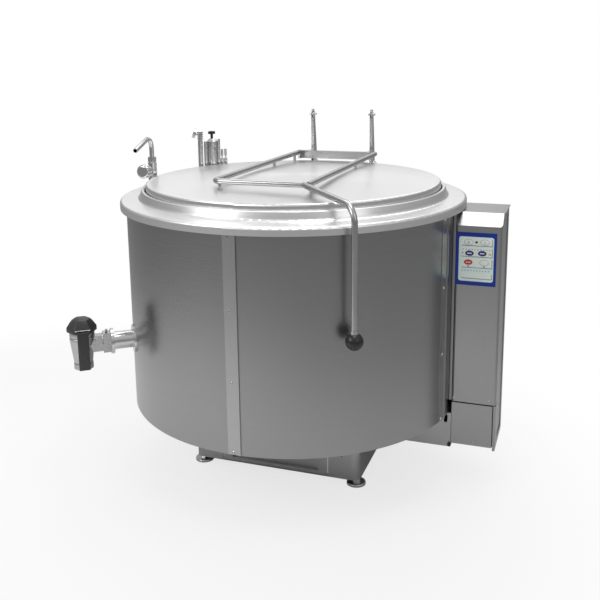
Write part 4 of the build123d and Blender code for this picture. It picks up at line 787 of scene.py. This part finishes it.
def makeScrewCrosses(setup):
    places = [(place, setup["frontAzimuth"]) for place in setup["fronts"]]
    for azimuth in setup["stripAzimuths"]:
        turn = math.radians(azimuth)
        for height in setup["stripHeights"]:
            place = (setup["stripReach"] * math.cos(turn), setup["stripReach"] * math.sin(turn), height)
            places.append((place, azimuth))
    arms = []
    for place, azimuth in places:
        for tilt in setup["tilts"]:
            arms.append(block(setup["recess"], place, (math.radians(tilt), 0, math.radians(azimuth))))
    finishPiece(joined(arms), "screwCrosses", "kettle", "seamDarkAndRecessShade")


makeScrewCrosses(screwHeads)
print("screw recesses made")

# balance springs
springSetup = {
    "turns": 36,
    "stepsPerTurn": 20,
    "coilRadius": 13.0,
    "wireRadius": 2.6,
    "wireSides": 8,
    "hookRadius": 8.5,
    "hookSteps": 24,
    "stemSides": 10,
    "armLift": 0.4,  # of the wire's radius, so that the arm lies in the last turn
    "endLength": 34.0,
    "bottom": (-118.0, 648.0, 330.0),
    "top": (-118.0, 595.2, 808.0),
    "spacing": 236.0,
    "openShare": 0.62,  # length with the lid open, as a share of the length with it shut
}


def makeHelix(setup, coilLength):
    bpy.ops.object.select_all(action="DESELECT")
    bpy.ops.mesh.primitive_circle_add(
        vertices=setup["wireSides"],
        radius=setup["wireRadius"] / 1000,
        location=metres(setup["coilRadius"], 0, 0),
        rotation=facingFront,
    )
    helix = bpy.context.object
    applyPlace(helix)
    winding = helix.modifiers.new("winding", "SCREW")
    winding.axis = "Z"
    winding.angle = 2 * math.pi
    winding.screw_offset = coilLength / setup["turns"] / 1000
    winding.iterations = setup["turns"]
    winding.steps = winding.render_steps = setup["stepsPerTurn"]
    bpy.ops.object.modifier_apply(modifier="winding")
    return helix


def makeSprings(setup):
    bottom, top = Vector(metres(*setup["bottom"])), Vector(metres(*setup["top"]))
    way = (top - bottom).normalized()
    end, wire, coil, hook = (setup[key] for key in ("endLength", "wireRadius", "coilRadius", "hookRadius"))
    coilLength = (top - bottom).length * 1000 - 2 * end
    stem = end - 2 * hook
    sides, across = setup["stemSides"], (0, math.pi / 2, 0)
    parts = [makeHelix(setup, coilLength)]
    for height, side in ((0.0, -1), (coilLength, 1)):
        hookPlace = (0, 0, height + side * (end - hook))
        parts.append(hoop(hook, wire, hookPlace, setup["hookSteps"], setup["wireSides"], across))
        # short arm from the coil's rim to the hook's stem
        armPlace = (coil / 2, 0, height + side * wire * setup["armLift"])
        parts.append(cylinder(wire, coil, armPlace, sides, across))
        parts.append(cylinder(wire, stem, (0, 0, height + side * stem / 2), sides))
    left = joined(parts)
    left.rotation_euler = (math.atan2(-way.y, way.z), 0, 0)
    left.location = bottom + way * end / 1000
    applyPlace(left)
    onlySelect(left)
    bpy.ops.object.duplicate(linked=False)
    right = bpy.context.object
    right.location.x += setup["spacing"] / 1000
    for piece, side, anchorX in ((left, "left", top.x), (right, "right", top.x + setup["spacing"] / 1000)):
        finishPiece(piece, "springCoil" + side.capitalize(), "rod_" + side, "springSteel")
        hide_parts("balance_spring_" + side)
        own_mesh(piece)


makeSprings(springSetup)
print("springs made")

# plug tap's six-sided cap, the pin and neck under it, and its hanging bar
tapCap = {
    "centre": (-553.18, -432.19),
    "facing": 308.0,  # azimuth that the front flat faces
    "sides": 6,
    "cornerRadius": 47.5,
    "cornerBevel": 5.0,
    "foot": 508.0,
    "footBevel": 2.0,
    "skirt": 14.0,
    "ridgeBevel": 1.6,
    "crownSteps": ((18, 0.74), (25, 0.60), (28, 0.43), (29, 0.25)),  # height above the skirt, and size
    "topFacing": 0.9,  # upward part of a normal above which a face counts as the top
    "neckRadius": 38.5,
    "neckFoot": 492.2,
    "neckTop": 508.3,
    "neckSides": 64,
    "neckBevel": 1.2,
    "pinRadius": 1.7,
    "pinLength": 46.0,
    "pinHeight": 520.0,
    "pinSides": 20,
    "barStand": 42.5,  # from the axis to the bar's rear
    "barWidth": 34.0,
    "barThick": 8.0,
    "barFoot": 394.0,
    "barTop": 516.4,
    "barBevel": 2.2,
    "smoothDegrees": 18,
}


def makeCrown(setup):
    x, y = setup["centre"]
    foot, skirt = setup["foot"], setup["skirt"]
    facing = math.radians(setup["facing"])
    bpy.ops.object.select_all(action="DESELECT")
    middle = (x, y, foot + skirt / 2)
    crown = cylinder(setup["cornerRadius"], skirt, middle, setup["sides"], (0, 0, facing))
    bevelEdges(crown, upright, setup["cornerBevel"], 2)
    # the top face is drawn up and in, step by step
    bpy.ops.object.mode_set(mode="EDIT")
    bpy.ops.mesh.select_mode(type="FACE")
    bpy.ops.mesh.select_all(action="DESELECT")
    mesh = bmesh.from_edit_mesh(crown.data)
    for face in mesh.faces:
        face.select_set(face.normal.z > setup["topFacing"])
    bmesh.update_edit_mesh(crown.data)
    height, size = 0.0, 1.0
    for nextHeight, nextSize in setup["crownSteps"]:
        lift = (0, 0, (nextHeight - height) / 1000)
        bpy.ops.mesh.extrude_region_move(TRANSFORM_OT_translate={"value": lift})
        ratio = nextSize / size
        centre = metres(x, y, foot + skirt + nextHeight)
        bpy.ops.transform.resize(value=(ratio, ratio, 1), center_override=centre)
        height, size = nextHeight, nextSize
    bpy.ops.object.mode_set(mode="OBJECT")
    bevelEdges(crown, atHeight(foot), setup["footBevel"], 2)
    bevelEdges(crown, atHeight(foot + skirt), setup["ridgeBevel"], 2)
    return crown


def makeTapCap(setup):
    x, y = setup["centre"]
    facing = math.radians(setup["facing"])
    ahead = (math.cos(facing), math.sin(facing))
    crown = makeCrown(setup)
    # pin across the front flat, under the crown
    flat = setup["cornerRadius"] * math.cos(math.pi / setup["sides"])
    pinPlace = (x + flat * ahead[0], y + flat * ahead[1], setup["pinHeight"])
    across = (math.pi / 2, 0, facing)
    pin = cylinder(setup["pinRadius"], setup["pinLength"], pinPlace, setup["pinSides"], across)
    finishPiece(pin, "tapHandlePin", "tap_plug_body", "pipeSteel")
    neckHeight = setup["neckTop"] - setup["neckFoot"]
    neckMiddle = (x, y, setup["neckFoot"] + neckHeight / 2)
    neck = cylinder(setup["neckRadius"], neckHeight, neckMiddle, setup["neckSides"])
    bevelEdges(neck, sameHeight, setup["neckBevel"], 3)
    finishPiece(neck, "tapNeck", "tap_plug_body", "castSteel")
    stand = setup["barStand"] + setup["barThick"] / 2
    barPlace = (x + stand * ahead[0], y + stand * ahead[1], (setup["barFoot"] + setup["barTop"]) / 2)
    barSize = (setup["barThick"], setup["barWidth"], setup["barTop"] - setup["barFoot"])
    bar = block(barSize, barPlace, (0, 0, facing))
    bevelEdges(bar, lambda a, b: True, setup["barBevel"], 3)
    whole = joined([crown, bar])
    finishPiece(whole, "tapCapAndBar", "tap_plug_body", "capPlastic", setup["smoothDegrees"])
    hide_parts("tap_handle")


makeTapCap(tapCap)
print("tap cap made")

# small fittings: the tap's tail screw, the column's buffer, the ball knob's seam and ferrule
fittings = {
    "tail": (-524.0, -409.4, 464.0),  # on the tap tail's axis
    "screwSide": 308.0,  # azimuth
    "screwRise": 42.0,  # degrees above level
    "screwReach": 26.0,  # from the tail's axis to the screw's middle
    "screwRadius": 4.6,
    "screwLength": 3.0,
    "socketRadius": 3.0,
    "socketLength": 3.4,
    "buffer": (541.5, -69.5, 121.0),
    "bufferRadius": 5.5,
    "bufferLength": 11.0,
    "bufferBevel": 1.5,
    "knobCentre": (342.6, -480.3, 585.0),
    "seamRadius": 24.82,
    "seamWire": 0.35,
    "seamSteps": (64, 6),  # round the ring, round its wire
    "ferruleHeight": 606.5,
    "ferruleRadius": 9.4,
    "ferruleWire": 1.1,
    "ferruleSteps": (40, 8),
}


def makeTailScrew(setup):
    side, rise = math.radians(setup["screwSide"]), math.radians(setup["screwRise"])
    way = Vector((math.cos(rise) * math.cos(side), math.cos(rise) * math.sin(side), math.sin(rise)))
    place = Vector(setup["tail"]) + way * setup["screwReach"]
    turn = way.to_track_quat("Z", "Y").to_euler()
    screw = cylinder(setup["screwRadius"], setup["screwLength"], place, rotation=turn)
    finishPiece(screw, "tapTailScrew", "kettle", "castSteel")
    # the socket is a dark hexagon, painted shade for its hollow
    socket = cylinder(setup["socketRadius"], setup["socketLength"], place, 6, turn)
    finishPiece(socket, "tapTailSocket", "kettle", "seamDarkAndRecessShade")


def makeBuffer(setup):
    buffer = cylinder(setup["bufferRadius"], setup["bufferLength"], setup["buffer"], rotation=facingFront)
    bevelEdges(buffer, sameDepth, setup["bufferBevel"], 3)
    finishPiece(buffer, "columnBuffer", "kettle", "darkRubber")


def makeKnobRings(setup):
    seam = hoop(setup["seamRadius"], setup["seamWire"], setup["knobCentre"], *setup["seamSteps"])
    finishPiece(seam, "knobSeam", "lid", "seamDarkAndRecessShade")
    ferrulePlace = (*setup["knobCentre"][:2], setup["ferruleHeight"])
    ferrule = hoop(setup["ferruleRadius"], setup["ferruleWire"], ferrulePlace, *setup["ferruleSteps"])
    finishPiece(ferrule, "leverFerrule", "lid", "tubeSteel")


makeTailScrew(fittings)
makeBuffer(fittings)
makeKnobRings(fittings)
print("small fittings made")

# spout pipe, bent to the wider sweep of a drawn tube
spoutSetup = {
    "foot": (-522.0, 0.0, 975.0),
    "cornerHeight": 1078.0,  # where the lines of its two straights meet
    "mouthHeight": 1040.0,
    "reach": 141.0,
    "heading": 277.5,
    "bend": 34.0,
    "bendSteps": 24,
    "radius": 8.0,
    "sides": 40,
    "wall": 1.4,
    "boreDepth": 60.0,
    "smoothDegrees": 40,
}


def makeSpout(setup):
    x, y, foot = setup["foot"]
    heading = math.radians(setup["heading"])
    ahead = Vector((math.cos(heading), math.sin(heading), 0))
    drop = setup["cornerHeight"] - setup["mouthHeight"]
    way = (ahead * setup["reach"] - Vector((0, 0, drop))).normalized()
    turn = math.pi / 2 + math.atan2(drop, setup["reach"])
    bend = setup["bend"] / 1000
    tangent = bend * math.tan(turn / 2)
    rise = (setup["cornerHeight"] - foot) / 1000 - tangent
    straight = math.hypot(setup["reach"], drop) / 1000 - tangent
    start = Vector(metres(x, y, foot))
    bpy.ops.object.select_all(action="DESELECT")
    bpy.ops.mesh.primitive_circle_add(vertices=setup["sides"], radius=setup["radius"] / 1000, location=start)
    pipe = bpy.context.object
    applyPlace(pipe)
    bpy.ops.object.mode_set(mode="EDIT")
    bpy.ops.mesh.select_all(action="SELECT")
    bpy.ops.mesh.extrude_region_move(TRANSFORM_OT_translate={"value": (0, 0, rise)})
    centre = start + Vector((0, 0, rise)) + ahead * bend
    bpy.ops.mesh.spin(steps=setup["bendSteps"], angle=-turn, center=centre, axis=(-ahead.y, ahead.x, 0))
    bpy.ops.mesh.extrude_region_move(TRANSFORM_OT_translate={"value": way * straight})
    # the mouth's edge, then the bore behind it
    mouth = Vector(metres(x, y, setup["cornerHeight"])) + way * (straight + tangent)
    share = 1 - setup["wall"] / setup["radius"]
    bpy.ops.mesh.extrude_region_move(TRANSFORM_OT_translate={"value": (0, 0, 0)})
    bpy.ops.transform.resize(value=(share, share, share), center_override=mouth)
    bpy.ops.mesh.extrude_region_move(TRANSFORM_OT_translate={"value": way * -setup["boreDepth"] / 1000})
    bpy.ops.mesh.edge_face_add()
    bpy.ops.object.mode_set(mode="OBJECT")
    finishPiece(pipe, "spoutSweep", "spout", "chrome", setup["smoothDegrees"])
    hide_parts("spout_pipe")
    print("spout bent, top at", round(max(vertex.co.z for vertex in pipe.data.vertices), 4))


makeSpout(spoutSetup)

# closing strip beside the column
closingStrip = {
    "edges": (537.6, 545.4, 274.0, 868.0),  # x low, x high, z low, z high
    "corner": 1.0,
    "rear": -60.0,
    "thick": 10.0,
}


def makeClosingStrip(setup):
    strip = frontPlate(*setup["edges"], setup["corner"], setup["rear"], setup["thick"])
    finishPiece(strip, "columnClosingStrip", "kettle", "columnSteel")


makeClosingStrip(closingStrip)

# relief valve's lobed knob
reliefKnob = {
    "centre": (-431.2, 294.2),
    "top": 1068.0,
    "height": 12.0,
    "stemRadius": 4.8,
    "stemFoot": 1034.0,
    "stemTop": 1064.0,
    "stemSides": 32,
    "hubRadius": 8.0,
    "lobes": 4,
    "lobeRadius": 5.4,
    "lobeReach": 8.2,
    "lobeShare": 0.86,  # a lobe's height, as a share of the hub's
    "bevel": 1.8,
}


def makeReliefKnob(setup):
    x, y = setup["centre"]
    height, sides = setup["height"], setup["stemSides"]
    middle = setup["top"] - height / 2
    stemLength = setup["stemTop"] - setup["stemFoot"]
    stemPlace = (x, y, (setup["stemTop"] + setup["stemFoot"]) / 2)
    parts = [cylinder(setup["stemRadius"], stemLength, stemPlace, sides)]
    parts.append(cylinder(setup["hubRadius"], height, (x, y, middle), sides))
    for lobe in range(setup["lobes"]):
        turn = 2 * math.pi * (lobe + 0.5) / setup["lobes"]
        place = (x + setup["lobeReach"] * math.cos(turn), y + setup["lobeReach"] * math.sin(turn), middle)
        parts.append(cylinder(setup["lobeRadius"], height * setup["lobeShare"], place))
    for part in parts[1:]:
        bevelEdges(part, sameHeight, setup["bevel"], 3)
    knob = finishPiece(joined(parts), "reliefKnobLobes", "relief_knob", "blackPlastic")
    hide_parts("valve_knob")


makeReliefKnob(reliefKnob)
print("closing strip and valve knob made")

print("scene built")
